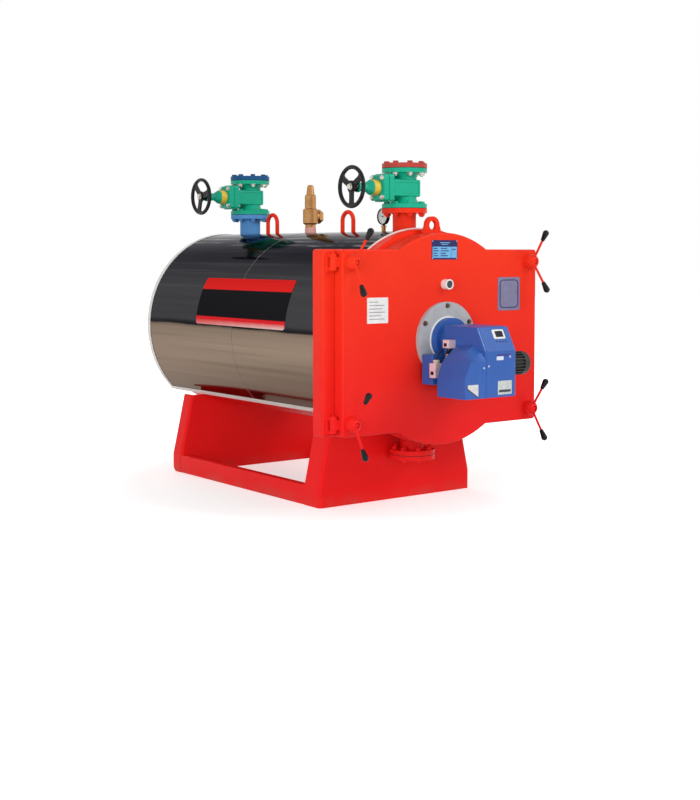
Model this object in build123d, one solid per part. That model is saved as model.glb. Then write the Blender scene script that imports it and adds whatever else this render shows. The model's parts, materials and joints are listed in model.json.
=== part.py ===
"""Horizontal fire-tube hot-water boiler on a welded pedestal, its burner on a hinged front door.

Millimetres. X is to the right seen from the front, Y runs to the back, Z is up. The origin is on the floor,
under the middle of the pedestal's front web.
"""
import os
from math import cos, degrees, radians, sin

from build123d import *

os.makedirs("parts", exist_ok=True)

# Driving dimensions: pressure shell and its inside
BELLY_H = 346.0            # floor to the lowest point of the shell
SHELL_R = 462.0            # outside radius of the pressure shell
SHELL_T = 8.0
SHELL_L = 1872.0
FRONT_OVERHANG = 294.0     # front frame's face in front of the pedestal's front web
REAR_OVERHANG = 279.0      # shell's rear end behind the pedestal's rear web
TUBE_PLATE_T = 16.0
TURN_SPACE = 64.0          # room for the gas to turn between door lining and front tube plate
SMOKE_BOX_D = 150.0        # room behind the rear tube plate
TUBE_BAND = 214.0          # room for the smoke tubes between furnace and shell
FURNACE_T = 10.0
FURNACE_REAR_GAP = 130.0   # water space behind the furnace's closed end
TUBE_COUNT = 18
TUBE_R = 38.0
TUBE_T = 4.0
TUBE_STICKOUT = 6.0        # tube ends stand proud of the tube plates
WELD_GAP = 0.2             # room left at curved welded seats

# Driving dimensions: pedestal
FOOT_SPREAD = 13.0         # half width of the pedestal past the shell's radius
SADDLE_SET_IN = 73.0       # the plates' sides lean in by this at their top edge
SADDLE_GAP = 12.0          # top edge of the plates under the cladding's lower edges
RAIL_H = 98.0              # height of the side rails and of the upright part of the plates
RAIL_LIP = 40.0            # width of the channel rails
RAIL_LIP_T = 8.0
RAIL_BEND_R = 6.0
PED_PLATE_T = 10.0
PED_BEND_R = 16.0          # outside radius of the folded sides
FRONT_FLANGE_D = 125.0     # front plate's sides, folded to the back
REAR_FLANGE_D = 86.0       # rear plate's sides, folded to the back
FOOT_CORNER_R = 34.0       # lower rear corners of the rear plate's sides

# Driving dimensions: insulation and cladding
WOOL_T = 48.5
CLAD_T = 1.5
CLAD_FRONT_GAP = 60.0      # front frame's back to the cladding
CLAD_EDGE_ANGLE = 46.3     # lower edges, degrees below the horizontal
TRIM_T = 3.0
TRIM_LIP = 24.0            # trim laps over the cladding sheet
FRONT_RING_RISE = 14.0     # front trim ring stands out past the sheet
COLLAR_SET_IN = 7.0        # painted collar under the front trim ring's edge
CLAD_HOLE_GAP = 4.0        # room round what passes through the cladding

# Driving dimensions: front frame and door
DOOR_R_MARGIN = 38.0       # door's round part past the shell's radius
DOOR_WING = 100.0          # door's straight sides past its round part
DOOR_ARC_RISE = 78.0       # round part over the straight top and bottom edges
DOOR_CORNER_R = 14.0
DOOR_EDGE_R = 9.0          # rounding of the front edges
DOOR_T = 56.0              # depth of the door pan
DOOR_SKIN_T = 10.0
DOOR_GAP = 4.0             # between the door's rim and the frame
FRAME_EAR = 66.0           # the frame reaches past the door on the hinge side
FRAME_D = 74.0
FRAME_SKIN_T = 12.0
FRAME_EDGE_R = 11.0
LINING_CLEAR = 16.0        # between the lining's plug and the shell
LINING_PLUG_D = 60.0       # how far the plug reaches past the frame's front
GASKET_W = 36.0
GASKET_CLEAR = 0.3

# Driving dimensions: hinges
HINGE_OFFSET = 26.0        # from the door's edge to the hinge axis
HINGE_SETBACK = 24.0       # from the frame's front to the hinge axis
HINGE_INSET = 58.0         # from the door's straight top or bottom edge to the middle of a hinge
HINGE_PIN_R = 9.0
HINGE_PIN_CLEAR = 0.05
HINGE_PIN_HEAD_H = 7.0
HINGE_BARREL_R = 15.0
HINGE_BARREL_H = 46.0
HINGE_LUG_T = 14.0
HINGE_LUG_GAP = 0.5
HINGE_LUG_NOSE_R = 17.0
HINGE_BASE_T = 6.0
HINGE_BASE_HALF_W = 19.0
HINGE_BASE_MARGIN = 8.0    # base plate past the lugs, up and down

# Driving dimensions: door clamps
CLAMP_INSET_X = 48.0       # from the door's straight side
CLAMP_INSET_Z = 59.0       # from the door's straight top or bottom edge
CLAMP_HUB_R = 37.0
CLAMP_HUB_H = 48.0
CLAMP_SKIRT_H = 15.0       # straight part of the hub under its dome
CLAMP_MOUTH_R = 13.0       # recess round the stud's end
CLAMP_MOUTH_D = 12.0
CLAMP_FACE_GAP = 0.3
CLAMP_STUD_R = 9.0
CLAMP_STUD_CLEAR = 0.05
CLAMP_STUD_RECESS = 5.0    # stud's end below the mouth
CLAMP_LINING_GAP = 6.0
CLAMP_ARM_R = 6.0
CLAMP_ARM_L = 124.0
CLAMP_ARM_TILT = 34.0      # degrees forward of the door's plane
GRIP_L = 57.0
GRIP_R = 15.5
GRIP_NECK_R = 9.5

# Driving dimensions: pipe connections
FLANGE_R = 110.0
FLANGE_T = 22.0
PIPE_R = 57.15
PIPE_T = 4.5
NOZZLE_RISE = 107.0        # nozzle flange face over the cladding
DRAIN_DROP = 107.0         # drain flange face under the shell
DRAIN_WEB_GAP = 3.0        # drain flange to the pedestal's front web
SUPPLY_SETBACK = 241.0     # supply nozzle behind the frame's front
RETURN_SETBACK = 259.0     # return nozzle in front of the shell's rear end
PIPE_GASKET_T = 3.0
PIPE_GASKET_R = 108.0
SOCKET_CLEAR = 0.5         # radial room for the pipe in the loose flange's socket
SOCKET_D = 17.0
BOLT_RING_R = 90.0         # bolt circle of the pipe flanges
BOLT_COUNT = 8
BOLT_HEAD_R = 13.5
BOLT_HEAD_H = 10.0

# Driving dimensions: gate valves
VALVE_L = 190.0
VALVE_FLANGE_T = 20.0
VALVE_BORE_R = 50.0
VALVE_NECK_R = 59.0
VALVE_FLARE_R = 74.0       # neck's foot on its flange
VALVE_FLARE_L = 24.0
VALVE_BODY_W = 126.0
VALVE_BODY_H = 82.0
VALVE_BODY_RIGHT = 52.0    # from the pipe's axis to the closed end of the body
VALVE_BODY_LEFT = 113.0    # from the pipe's axis to the bonnet joint
VALVE_BODY_EDGE_R = 8.0
VALVE_GATE_T = 30.0
VALVE_PANEL_BORDER = 6.0
VALVE_PANEL_D = 3.0
JOINT_W = 124.0            # bonnet joint's square flanges
JOINT_H = 134.0
JOINT_T = 13.0
JOINT_CORNER_R = 16.0
BONNET_W = 114.0
BONNET_H = 124.0
BONNET_L = 30.0
BONNET_EDGE_R = 10.0
BARREL_R = 37.0            # round part of the bonnet
BARREL_L = 43.0
NOSE_L = 28.0
SLEEVE_R = 20.5
SLEEVE_RING_R = 26.0
SLEEVE_RING_L = 9.0
STEM_R = 10.0
STEM_CLEAR = 0.05
STEM_RECESS = 2.0          # stem's end below the front of the handwheel's hub
WHEEL_GAP = 5.0            # sleeve to the handwheel's hub
WHEEL_X = 322.0            # handwheel's middle from the pipe's axis
WHEEL_R = 92.0
WHEEL_RIM_R = 10.0
WHEEL_HUB_R = 22.0
WHEEL_HUB_FRONT = 8.0      # hub in front of the rim's middle
WHEEL_HUB_BACK = 26.0      # hub towards the valve
WHEEL_WEB_T = 9.0
WHEEL_SPOKES = 3
WHEEL_SPOKE_W = 28.0
WHEEL_WINDOW_R = 14.0      # rounding of the openings between the spokes
SUPPLY_WHEEL_TURN = 0.0
RETURN_WHEEL_TURN = 15.0

# Driving dimensions: fittings on top
SAFETY_OFFSET = 15.5       # safety valve in front of the middle between the two bails
NIPPLE_R = 30.0
NIPPLE_RISE = 28.0         # nipple's top over the cladding
SAFETY_NECK_R = 28.0
SAFETY_NECK_L = 16.0
SAFETY_BODY_R = 40.0
SAFETY_BODY_L = 86.0
SAFETY_BONNET_R = 30.0
SAFETY_BONNET_L = 74.0
SAFETY_CAP_R = 22.0
SAFETY_CAP_TIP_R = 17.0
SAFETY_CAP_L = 50.0
SAFETY_BEVEL = 7.0
OUTLET_R = 31.0
OUTLET_L = 62.0            # outlet's face from the safety valve's axis
OUTLET_NUT_R = 38.0
OUTLET_NUT_L = 22.0
OUTLET_BORE_R = 24.0
OUTLET_BORE_D = 30.0
GAUGE_AFTER_SUPPLY = 161.0
GAUGE_R = 41.0
GAUGE_T = 22.0
GAUGE_BEZEL = 5.0
GAUGE_RISE = 73.0          # middle of the dial over the cladding
GAUGE_STEM_R = 7.0
COCK_R = 11.0
COCK_RING_R = 14.0
COCK_RING_H = 8.0
COCK_RISE = 28.0           # cock's top over the cladding
BAIL_AFTER_SUPPLY = 457.0
BAIL_BEFORE_RETURN = 230.0
BAIL_BAR_R = 11.0
BAIL_BEND_R = 46.0
BAIL_RISE = 114.0          # top of the bails over the cladding
LUG_W = 116.0
LUG_T = 20.0
LUG_NOSE_R = 42.0
LUG_RISE = 78.0            # top of the front lug over the frame
LUG_HOLE_R = 22.0

# Driving dimensions: rear smoke box and flue
SMOKE_COVER_T = 12.0
FLUE_R = 125.0
FLUE_T = 4.0
FLUE_L = 120.0

# Driving dimensions: burner and sight tube
BURNER_PLATE_R = 176.0
BURNER_PLATE_T = 20.0
BURNER_NECK_R = 102.0
BURNER_NECK_L = 60.0       # wide part of the neck in front of the door
BLAST_R = 76.0
BLAST_T = 3.0
BLAST_PAST_PLATE = 110.0   # blast tube's reach past the front tube plate
LINING_BLAST_GAP = 6.0
HOUSING_GAP = 92.0         # from the door's face to the back of the housing
HOUSING_REACH = 375.0      # from the door's face to the front of the housing
HOUSING_LEFT = 82.0
HOUSING_RIGHT = 105.0
HOUSING_TOP = 72.0
HOUSING_BOTTOM = 243.0
HOUSING_EDGE_R = 11.0
PANEL_SETBACK = 57.0       # top edge of the sloped control panel behind the front
PANEL_DROP = 107.0         # lower edge of the sloped control panel under the top
HOOD_LEFT = 207.0
HOOD_REAR = 190.0          # from the door's face to the back of the air hood
HOOD_BROW_BACK = 77.0      # from the housing's front to the hood's brow
HOOD_BEVEL_BACK = 23.0     # from the housing's front to the middle of the bevel in front of the brow
HOOD_WAIST = (157.0, 154.0, 152.0, 151.0)    # upright side ends this far under the axis, rear to front
HOOD_SHOULDER = (89.0, 80.0, 77.0, 75.0)     # sloped shoulder ends this far under the axis
HOOD_SHOULDER_IN = (27.0, 31.0, 34.0, 36.0)  # and this far in from the outer side
HOOD_CROWN = (38.0, 29.0, 52.0, 77.0)        # rounder top next to the shoulder
HOOD_CROWN_IN = (85.0, 85.0, 82.0, 80.0)
HOOD_RIDGE = (16.0, 7.0, 37.0, 79.0)         # where the hood meets the housing
MOTOR_D = 275.0            # motor's axis from the door's face
MOTOR_DROP = 105.0         # motor's axis under the burner's axis
MOTOR_R = 55.0
MOTOR_L = 145.0
MOTOR_FLANGE_T = 10.0
MOTOR_FIN_H = 9.0
MOTOR_FIN_T = 5.0
MOTOR_FINS = 22
MOTOR_BELL_L = 40.0
MOTOR_BELL_EDGE_R = 16.0
GAS_BOX_LEFT = 160.0
GAS_BOX_RIGHT = 90.0
GAS_BOX_TOP = 64.0
GAS_BOX_BOTTOM = 202.0
GAS_BOX_GAP = 24.0         # from the door's face to the back of the gas box
GAS_BOX_FRONT = 100.0
GAS_BOX_EDGE_R = 6.0
GAS_PIPE_R = 12.0
GAS_PIPE_SET_IN = 7.0      # gas stub's side inside the neck's lower edge and the box's back
COIL_W = 50.0
COIL_H = 66.0
COIL_D = 42.0
COIL_PLUG_H = 15.0
COIL_PLUG_R = 15.0
COIL_OUT = 20.0            # coil's outer side past the gas box
COIL_DROP = 20.0           # coil's top under the gas box's top
SERVO_W = 44.0
SERVO_H = 38.0
SERVO_D = 40.0
SERVO_DROP = 30.0          # servo's bottom under the burner's axis
SERVO_HOOD_GAP = 20.0
SERVO_EDGE_R = 4.0
SIGHT_H = 258.0            # sight tube over the shell's axis
SIGHT_R = 24.0
SIGHT_L = 36.0
SIGHT_BORE_R = 13.0
SIGHT_GLASS_R = 18.0
SIGHT_GLASS_D = 6.0

# Values worked out from the driving dimensions
AXIS_Z = BELLY_H + SHELL_R
CLAD_R = SHELL_R + WOOL_T + CLAD_T
CLAD_TOP_Z = AXIS_Z + CLAD_R
FOOT_HALF_W = SHELL_R + FOOT_SPREAD
SADDLE_HALF_W = FOOT_HALF_W - SADDLE_SET_IN
SADDLE_TOP_Z = AXIS_Z - CLAD_R * sin(radians(CLAD_EDGE_ANGLE)) - SADDLE_GAP
DOOR_R = SHELL_R + DOOR_R_MARGIN
DOOR_HALF_W = DOOR_R + DOOR_WING
DOOR_HALF_H = DOOR_R - DOOR_ARC_RISE
FRAME_FRONT_Y = -FRONT_OVERHANG
FRAME_BACK_Y = FRAME_FRONT_Y + FRAME_D
DOOR_BACK_Y = FRAME_FRONT_Y - DOOR_GAP
DOOR_FRONT_Y = DOOR_BACK_Y - DOOR_T
SHELL_FRONT_Y = FRAME_FRONT_Y + FRAME_SKIN_T
SHELL_REAR_Y = SHELL_FRONT_Y + SHELL_L
WEB_SPACING = SHELL_REAR_Y - REAR_OVERHANG
LINING_R = SHELL_R - SHELL_T - LINING_CLEAR
FRONT_TUBE_PLATE_Y = FRAME_FRONT_Y + LINING_PLUG_D + TURN_SPACE
REAR_TUBE_PLATE_Y = SHELL_REAR_Y - SMOKE_BOX_D
FURNACE_R = SHELL_R - SHELL_T - TUBE_BAND
TUBE_RING_R = FURNACE_R + TUBE_BAND / 2
CLAD_FRONT_Y = FRAME_BACK_Y + CLAD_FRONT_GAP
CLAD_REAR_Y = SHELL_REAR_Y + SMOKE_COVER_T
HINGE_X = -DOOR_HALF_W - HINGE_OFFSET
HINGE_Y = FRAME_FRONT_Y - HINGE_SETBACK
HINGE_SPREAD = DOOR_HALF_H - HINGE_INSET
CLAMP_X = DOOR_HALF_W - CLAMP_INSET_X
CLAMP_Z = DOOR_HALF_H - CLAMP_INSET_Z
SUPPLY_Y = FRAME_FRONT_Y + SUPPLY_SETBACK
RETURN_Y = SHELL_REAR_Y - RETURN_SETBACK
GAUGE_Y = SUPPLY_Y + GAUGE_AFTER_SUPPLY
BAIL_MIDDLE_Y = SUPPLY_Y + BAIL_AFTER_SUPPLY
BAIL_REAR_Y = RETURN_Y - BAIL_BEFORE_RETURN
SAFETY_Y = (BAIL_MIDDLE_Y + BAIL_REAR_Y) / 2 - SAFETY_OFFSET
DRAIN_Y = -PED_PLATE_T / 2 - DRAIN_WEB_GAP - FLANGE_R
DRAIN_FACE_Z = AXIS_Z - SHELL_R - DRAIN_DROP
NOZZLE_FACE_Z = CLAD_TOP_Z + NOZZLE_RISE
VALVE_Z0 = NOZZLE_FACE_Z + PIPE_GASKET_T
VALVE_Z1 = VALVE_Z0 + VALVE_L
VALVE_MID_Z = (VALVE_Z0 + VALVE_Z1) / 2
COUNTER_Z0 = VALVE_Z1 + PIPE_GASKET_T
PIPE_BORE_R = PIPE_R - PIPE_T
JOINT_X = -VALVE_BODY_LEFT
HOUSING_BACK_Y = DOOR_FRONT_Y - HOUSING_GAP
HOUSING_FRONT_Y = DOOR_FRONT_Y - HOUSING_REACH
HALF_TURN = 180.0
FAR = 4.0 * SHELL_L        # longer than anything on the boiler
PAST = 1.0                 # cutters run past the faces they cut
NEAR = 0.01                # two places closer than this are the same


def cyl_x(r, x0, x1, y=0.0, z=0.0):
    """Cylinder along X."""
    return Pos((x0 + x1) / 2, y, z) * Rot(0, 90, 0) * Cylinder(r, abs(x1 - x0))


def cyl_y(r, y0, y1, x=0.0, z=0.0):
    """Cylinder along Y."""
    return Pos(x, (y0 + y1) / 2, z) * Rot(90, 0, 0) * Cylinder(r, abs(y1 - y0))


def cyl_z(r, z0, z1, x=0.0, y=0.0):
    """Cylinder along Z."""
    return Pos(x, y, (z0 + z1) / 2) * Cylinder(r, abs(z1 - z0))


def block(x0, x1, y0, y1, z0, z1):
    """Box between two corners."""
    return Pos((x0 + x1) / 2, (y0 + y1) / 2, (z0 + z1) / 2) * Box(abs(x1 - x0), abs(y1 - y0), abs(z1 - z0))


def turned(profile, origin, axis):
    """Solid of revolution: corners as (radius, height), standing on the origin along the axis."""
    face = make_face(Polyline(*[(r, 0, h) for r, h in profile], close=True))
    return Plane(origin=origin, z_dir=axis) * revolve(face, Axis.Z)


def slab_xz(points, y0, y1):
    """Flat outline in X and Z, given as corner points, from y0 to y1."""
    face = make_face(Polyline(*[(x, y0, z) for x, z in points], close=True))
    return extrude(face, amount=y1 - y0, dir=(0, 1, 0))


def rod(start, end, r):
    """Round rod between two points."""
    axis = Vector(*end) - Vector(*start)
    return extrude(Plane(origin=start, z_dir=axis) * Circle(r), amount=axis.length)


def front_edges(solid, y):
    """The edges of a solid that lie in the upright plane at y."""
    return [edge for edge in solid.edges() if abs(edge.center().Y - y) < NEAR]


def save(name, solid):
    """Writes one piece of the boiler to its own file."""
    solid.label = name
    export_step(solid, f"parts/{name}.step")


def solids_together(solids):
    """Several pieces that don't touch, kept in one file."""
    return Compound(children=list(solids))


def shell_cylinder():
    """Room for the shell in what is welded to its outside."""
    return cyl_y(SHELL_R + WELD_GAP, -FAR, FAR, z=AXIS_Z)


def on_axis(face, y0, y1):
    """Extrudes a flat shape drawn about the shell's axis, from y0 to y1."""
    plane = Plane(origin=(0, y1, AXIS_Z), x_dir=(1, 0, 0), z_dir=(0, -1, 0))
    return extrude(plane * face, amount=y1 - y0)


# Pedestal
def pedestal_outline(inset, z_low, z_high):
    """Both side lines of a pedestal plate, set in from its outer faces."""
    foot_x = FOOT_HALF_W - inset
    top_x = SADDLE_HALF_W - inset
    right = [(foot_x, z_low), (foot_x, RAIL_H), (top_x, SADDLE_TOP_Z), (top_x, z_high)]
    return right + [(-x, z) for x, z in reversed(right)]


def pedestal_plate(y_mid, flange_d):
    """Saddle plate under the shell, its sides folded to the back."""
    y0 = y_mid - PED_PLATE_T / 2
    y1 = y0 + flange_d
    right = [(FOOT_HALF_W, 0), (FOOT_HALF_W, RAIL_H), (SADDLE_HALF_W, SADDLE_TOP_Z)]
    outer = slab_xz(right + [(-x, z) for x, z in reversed(right)], y0, y1)
    outer = fillet([e for e in front_edges(outer, y0) if abs(e.center().X) > NEAR], PED_BEND_R)
    room = slab_xz(pedestal_outline(PED_PLATE_T, -PAST, SADDLE_TOP_Z + PAST), y0 + PED_PLATE_T, y1 + PAST)
    side_folds = [e for e in front_edges(room, y0 + PED_PLATE_T) if abs(e.center().X) > NEAR]
    room = fillet(side_folds, PED_BEND_R - PED_PLATE_T)
    return outer - room - shell_cylinder()


def rear_pedestal_plate():
    """Rear saddle plate: the lower rear corners of its sides are rounded."""
    plate = pedestal_plate(WEB_SPACING, REAR_FLANGE_D)
    y_back = WEB_SPACING - PED_PLATE_T / 2 + REAR_FLANGE_D
    corners = [e for e in front_edges(plate, y_back) if abs(e.center().Z) < NEAR]
    return fillet(corners, FOOT_CORNER_R)


def pedestal_rail():
    """Right channel rail between the two plates, open to the inside."""
    y0 = FRONT_FLANGE_D - PED_PLATE_T / 2
    y1 = WEB_SPACING - PED_PLATE_T / 2
    bar = block(FOOT_HALF_W - RAIL_LIP, FOOT_HALF_W, y0, y1, 0, RAIL_H)
    outer_edges = bar.edges().filter_by(Axis.Y).group_by(Axis.X)[-1]
    bar = fillet(outer_edges, RAIL_BEND_R)
    web_x = FOOT_HALF_W - PED_PLATE_T
    return bar - block(web_x - RAIL_LIP, web_x, y0 - PAST, y1 + PAST, RAIL_LIP_T, RAIL_H - RAIL_LIP_T)


# Shell, tube plates, furnace and tubes
def pressure_shell():
    """Rolled shell, open at both ends, with the pipe openings cut in."""
    shell = cyl_y(SHELL_R, SHELL_FRONT_Y, SHELL_REAR_Y, z=AXIS_Z)
    shell -= cyl_y(SHELL_R - SHELL_T, SHELL_FRONT_Y - PAST, SHELL_REAR_Y + PAST, z=AXIS_Z)
    for y in (SUPPLY_Y, RETURN_Y):
        shell -= cyl_z(PIPE_BORE_R, AXIS_Z, NOZZLE_FACE_Z, y=y)
    return shell - cyl_z(PIPE_BORE_R, DRAIN_FACE_Z, AXIS_Z, y=DRAIN_Y)


def tube_places():
    """Middles of the smoke tubes, a ring round the furnace."""
    step = 360.0 / TUBE_COUNT
    angles = [radians(step * (i + 0.5)) for i in range(TUBE_COUNT)]
    return [(TUBE_RING_R * cos(a), AXIS_Z + TUBE_RING_R * sin(a)) for a in angles]


def tube_plate(y, with_furnace):
    """Flat end plate inside the shell, drilled for the tubes."""
    y_end = y + TUBE_PLATE_T
    plate = cyl_y(SHELL_R - SHELL_T - WELD_GAP, y, y_end, z=AXIS_Z)
    cutters = [cyl_y(TUBE_R + WELD_GAP, y - PAST, y_end + PAST, x, z) for x, z in tube_places()]
    if with_furnace:
        cutters.append(cyl_y(FURNACE_R + WELD_GAP, y - PAST, y_end + PAST, z=AXIS_Z))
    return plate - cutters


def furnace_tube():
    """Furnace with a closed far end, where the flame turns back."""
    y1 = REAR_TUBE_PLATE_Y - FURNACE_REAR_GAP
    tube = cyl_y(FURNACE_R, FRONT_TUBE_PLATE_Y, y1, z=AXIS_Z)
    return tube - cyl_y(FURNACE_R - FURNACE_T, FRONT_TUBE_PLATE_Y - PAST, y1 - FURNACE_T, z=AXIS_Z)


def smoke_tubes():
    """Ring of smoke tubes from plate to plate."""
    y0 = FRONT_TUBE_PLATE_Y - TUBE_STICKOUT
    y1 = REAR_TUBE_PLATE_Y + TUBE_PLATE_T + TUBE_STICKOUT
    tube = cyl_y(TUBE_R, y0, y1) - cyl_y(TUBE_R - TUBE_T, y0 - PAST, y1 + PAST)
    return solids_together([Pos(x, 0, z) * tube for x, z in tube_places()])


# Insulation and cladding
def wedge(angle0, angle1):
    """Flat sector of a turn, less than 180 degrees wide, about the shell's axis."""
    corners = [(FAR * cos(radians(a)), FAR * sin(radians(a))) for a in (angle0, angle1)]
    return make_face(Polyline((0, 0), corners[0], corners[1], close=True))


def open_ring(r_out, r_in):
    """Ring that stops at the cladding's two lower edges."""
    gap = wedge(CLAD_EDGE_ANGLE - HALF_TURN, -CLAD_EDGE_ANGLE)
    return Circle(r_out) - Circle(r_in) - gap


def cladding_cutters():
    """What passes through the insulation and the cladding."""
    top = CLAD_TOP_Z + TRIM_LIP
    cutters = [cyl_z(PIPE_R + CLAD_HOLE_GAP, AXIS_Z, top, y=y) for y in (SUPPLY_Y, RETURN_Y)]
    cutters.append(cyl_z(NIPPLE_R + CLAD_HOLE_GAP, AXIS_Z, top, y=SAFETY_Y))
    cutters.append(cyl_z(COCK_R + CLAD_HOLE_GAP, AXIS_Z, top, y=GAUGE_Y))
    for y in (BAIL_MIDDLE_Y, BAIL_REAR_Y):
        for leg in (-BAIL_BEND_R, BAIL_BEND_R):
            cutters.append(cyl_z(BAIL_BAR_R + CLAD_HOLE_GAP, AXIS_Z, top, y=y + leg))
    return cutters


def insulation():
    """Mineral wool blanket between shell and cladding."""
    ring = open_ring(CLAD_R - CLAD_T, SHELL_R + WELD_GAP)
    return on_axis(ring, CLAD_FRONT_Y, CLAD_REAR_Y) - cladding_cutters()


def cladding():
    """Polished sheet over the insulation."""
    return on_axis(open_ring(CLAD_R, CLAD_R - CLAD_T), CLAD_FRONT_Y, CLAD_REAR_Y) - cladding_cutters()


def front_ring():
    """Trim round the front end of the cladding: a tall flat ring and a lip over the sheet."""
    flat = open_ring(CLAD_R + FRONT_RING_RISE, SHELL_R + WELD_GAP)
    face = on_axis(flat, CLAD_FRONT_Y - TRIM_T, CLAD_FRONT_Y)
    return face + on_axis(open_ring(CLAD_R + TRIM_T, CLAD_R), CLAD_FRONT_Y, CLAD_FRONT_Y + TRIM_LIP)


def front_collar():
    """Painted collar round the shell between the front frame and the cladding."""
    ring = open_ring(CLAD_R + FRONT_RING_RISE - COLLAR_SET_IN, SHELL_R + WELD_GAP)
    return on_axis(ring, FRAME_BACK_Y, CLAD_FRONT_Y - TRIM_T)


def rear_ring():
    """Trim round the rear end of the cladding: a flat ring and a lip over the sheet."""
    face = on_axis(open_ring(CLAD_R + TRIM_T, SHELL_R + WELD_GAP), CLAD_REAR_Y, CLAD_REAR_Y + TRIM_T)
    return face + on_axis(open_ring(CLAD_R + TRIM_T, CLAD_R), CLAD_REAR_Y - TRIM_LIP, CLAD_REAR_Y)


def edge_strips():
    """Trim along the two lower edges of the cladding, between the end rings."""
    low = -CLAD_EDGE_ANGLE
    lip = (Circle(CLAD_R + TRIM_T) - Circle(CLAD_R)) & wedge(low, low + degrees(TRIM_LIP / CLAD_R))
    web = (Circle(CLAD_R + TRIM_T) - Circle(SHELL_R + WELD_GAP)) & wedge(low - degrees(TRIM_T / CLAD_R), low)
    y0 = CLAD_FRONT_Y + TRIM_LIP
    y1 = CLAD_REAR_Y - TRIM_LIP
    right = on_axis(lip, y0, y1) + on_axis(web, y0, y1)
    return solids_together([right, mirror(right, about=Plane.YZ)])


# Front frame and hinges
def door_outline(shrink=0.0, ear=0.0, corner=0.0):
    """The door's outline: a rectangle with a round bulge over and under it."""
    width = 2 * (DOOR_HALF_W - shrink) + ear
    rect = Pos(-ear / 2, 0) * Rectangle(width, 2 * (DOOR_HALF_H - shrink))
    outline = rect + Circle(DOOR_R - shrink)
    return fillet(outline.vertices(), corner) if corner else outline


def front_frame():
    """Deep pressed frame round the shell's mouth, open to the back, wider on the hinge side."""
    frame = on_axis(door_outline(ear=FRAME_EAR, corner=DOOR_CORNER_R), FRAME_FRONT_Y, FRAME_BACK_Y)
    frame = fillet(front_edges(frame, FRAME_FRONT_Y), FRAME_EDGE_R)
    frame -= on_axis(door_outline(shrink=FRAME_SKIN_T, ear=FRAME_EAR), FRAME_FRONT_Y + FRAME_SKIN_T,
                     FRAME_BACK_Y + PAST)
    return frame - cyl_y(SHELL_R - SHELL_T, FRAME_FRONT_Y - PAST, FRAME_BACK_Y, z=AXIS_Z)


def hinge_heights():
    """Middle heights of the two hinges."""
    return (AXIS_Z + HINGE_SPREAD, AXIS_Z - HINGE_SPREAD)


def hinge_bracket(z):
    """Base plate on the frame with two lugs and the pin through them."""
    half = HINGE_BARREL_H / 2
    reach = half + HINGE_LUG_T
    base_reach = reach + HINGE_BASE_MARGIN
    bracket = block(HINGE_X - HINGE_BASE_HALF_W, HINGE_X + HINGE_BASE_HALF_W, FRAME_FRONT_Y - HINGE_BASE_T,
                    FRAME_FRONT_Y, z - base_reach, z + base_reach)
    bracket += cyl_z(HINGE_PIN_R, z - reach, z + reach + HINGE_PIN_HEAD_H, HINGE_X, HINGE_Y)
    for z0 in (z - reach, z + half):
        bracket += cyl_z(HINGE_LUG_NOSE_R, z0, z0 + HINGE_LUG_T, HINGE_X, HINGE_Y)
        bracket += block(HINGE_X - HINGE_LUG_NOSE_R, HINGE_X + HINGE_LUG_NOSE_R, HINGE_Y, FRAME_FRONT_Y, z0,
                         z0 + HINGE_LUG_T)
    return bracket


# Door
def clamp_places():
    """Name, x, height over the shell's axis and rest angle of the four door clamps."""
    return [("upper_left", -CLAMP_X, CLAMP_Z, 8.0), ("upper_right", CLAMP_X, CLAMP_Z, -2.0),
            ("lower_left", -CLAMP_X, -CLAMP_Z, 4.0), ("lower_right", CLAMP_X, -CLAMP_Z, 1.0)]


def door_plate():
    """Pressed door pan with its hinge barrels."""
    skin_back = DOOR_FRONT_Y + DOOR_SKIN_T
    pan = on_axis(door_outline(corner=DOOR_CORNER_R), DOOR_FRONT_Y, DOOR_BACK_Y)
    pan = fillet(front_edges(pan, DOOR_FRONT_Y), DOOR_EDGE_R)
    pan -= on_axis(door_outline(shrink=DOOR_SKIN_T), skin_back, DOOR_BACK_Y + PAST)
    pan -= cyl_y(BURNER_NECK_R, DOOR_FRONT_Y - PAST, skin_back + PAST, z=AXIS_Z)
    pan -= cyl_y(SIGHT_BORE_R, DOOR_FRONT_Y - PAST, skin_back + PAST, z=AXIS_Z + SIGHT_H)
    for _, x, z, _ in clamp_places():
        pan -= cyl_y(CLAMP_STUD_R + CLAMP_STUD_CLEAR, DOOR_FRONT_Y - PAST, skin_back + PAST, x, AXIS_Z + z)
    half = HINGE_BARREL_H / 2 - HINGE_LUG_GAP
    for z in hinge_heights():
        barrel = cyl_z(HINGE_BARREL_R, z - half, z + half, HINGE_X, HINGE_Y)
        arm_y = HINGE_Y + HINGE_BARREL_R / 2
        barrel += block(HINGE_X, -DOOR_HALF_W, HINGE_Y - HINGE_BARREL_R, arm_y, z - half, z + half)
        pan += barrel
        pan -= cyl_z(HINGE_PIN_R + HINGE_PIN_CLEAR, z - half - PAST, z + half + PAST, HINGE_X, HINGE_Y)
    return pan


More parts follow.
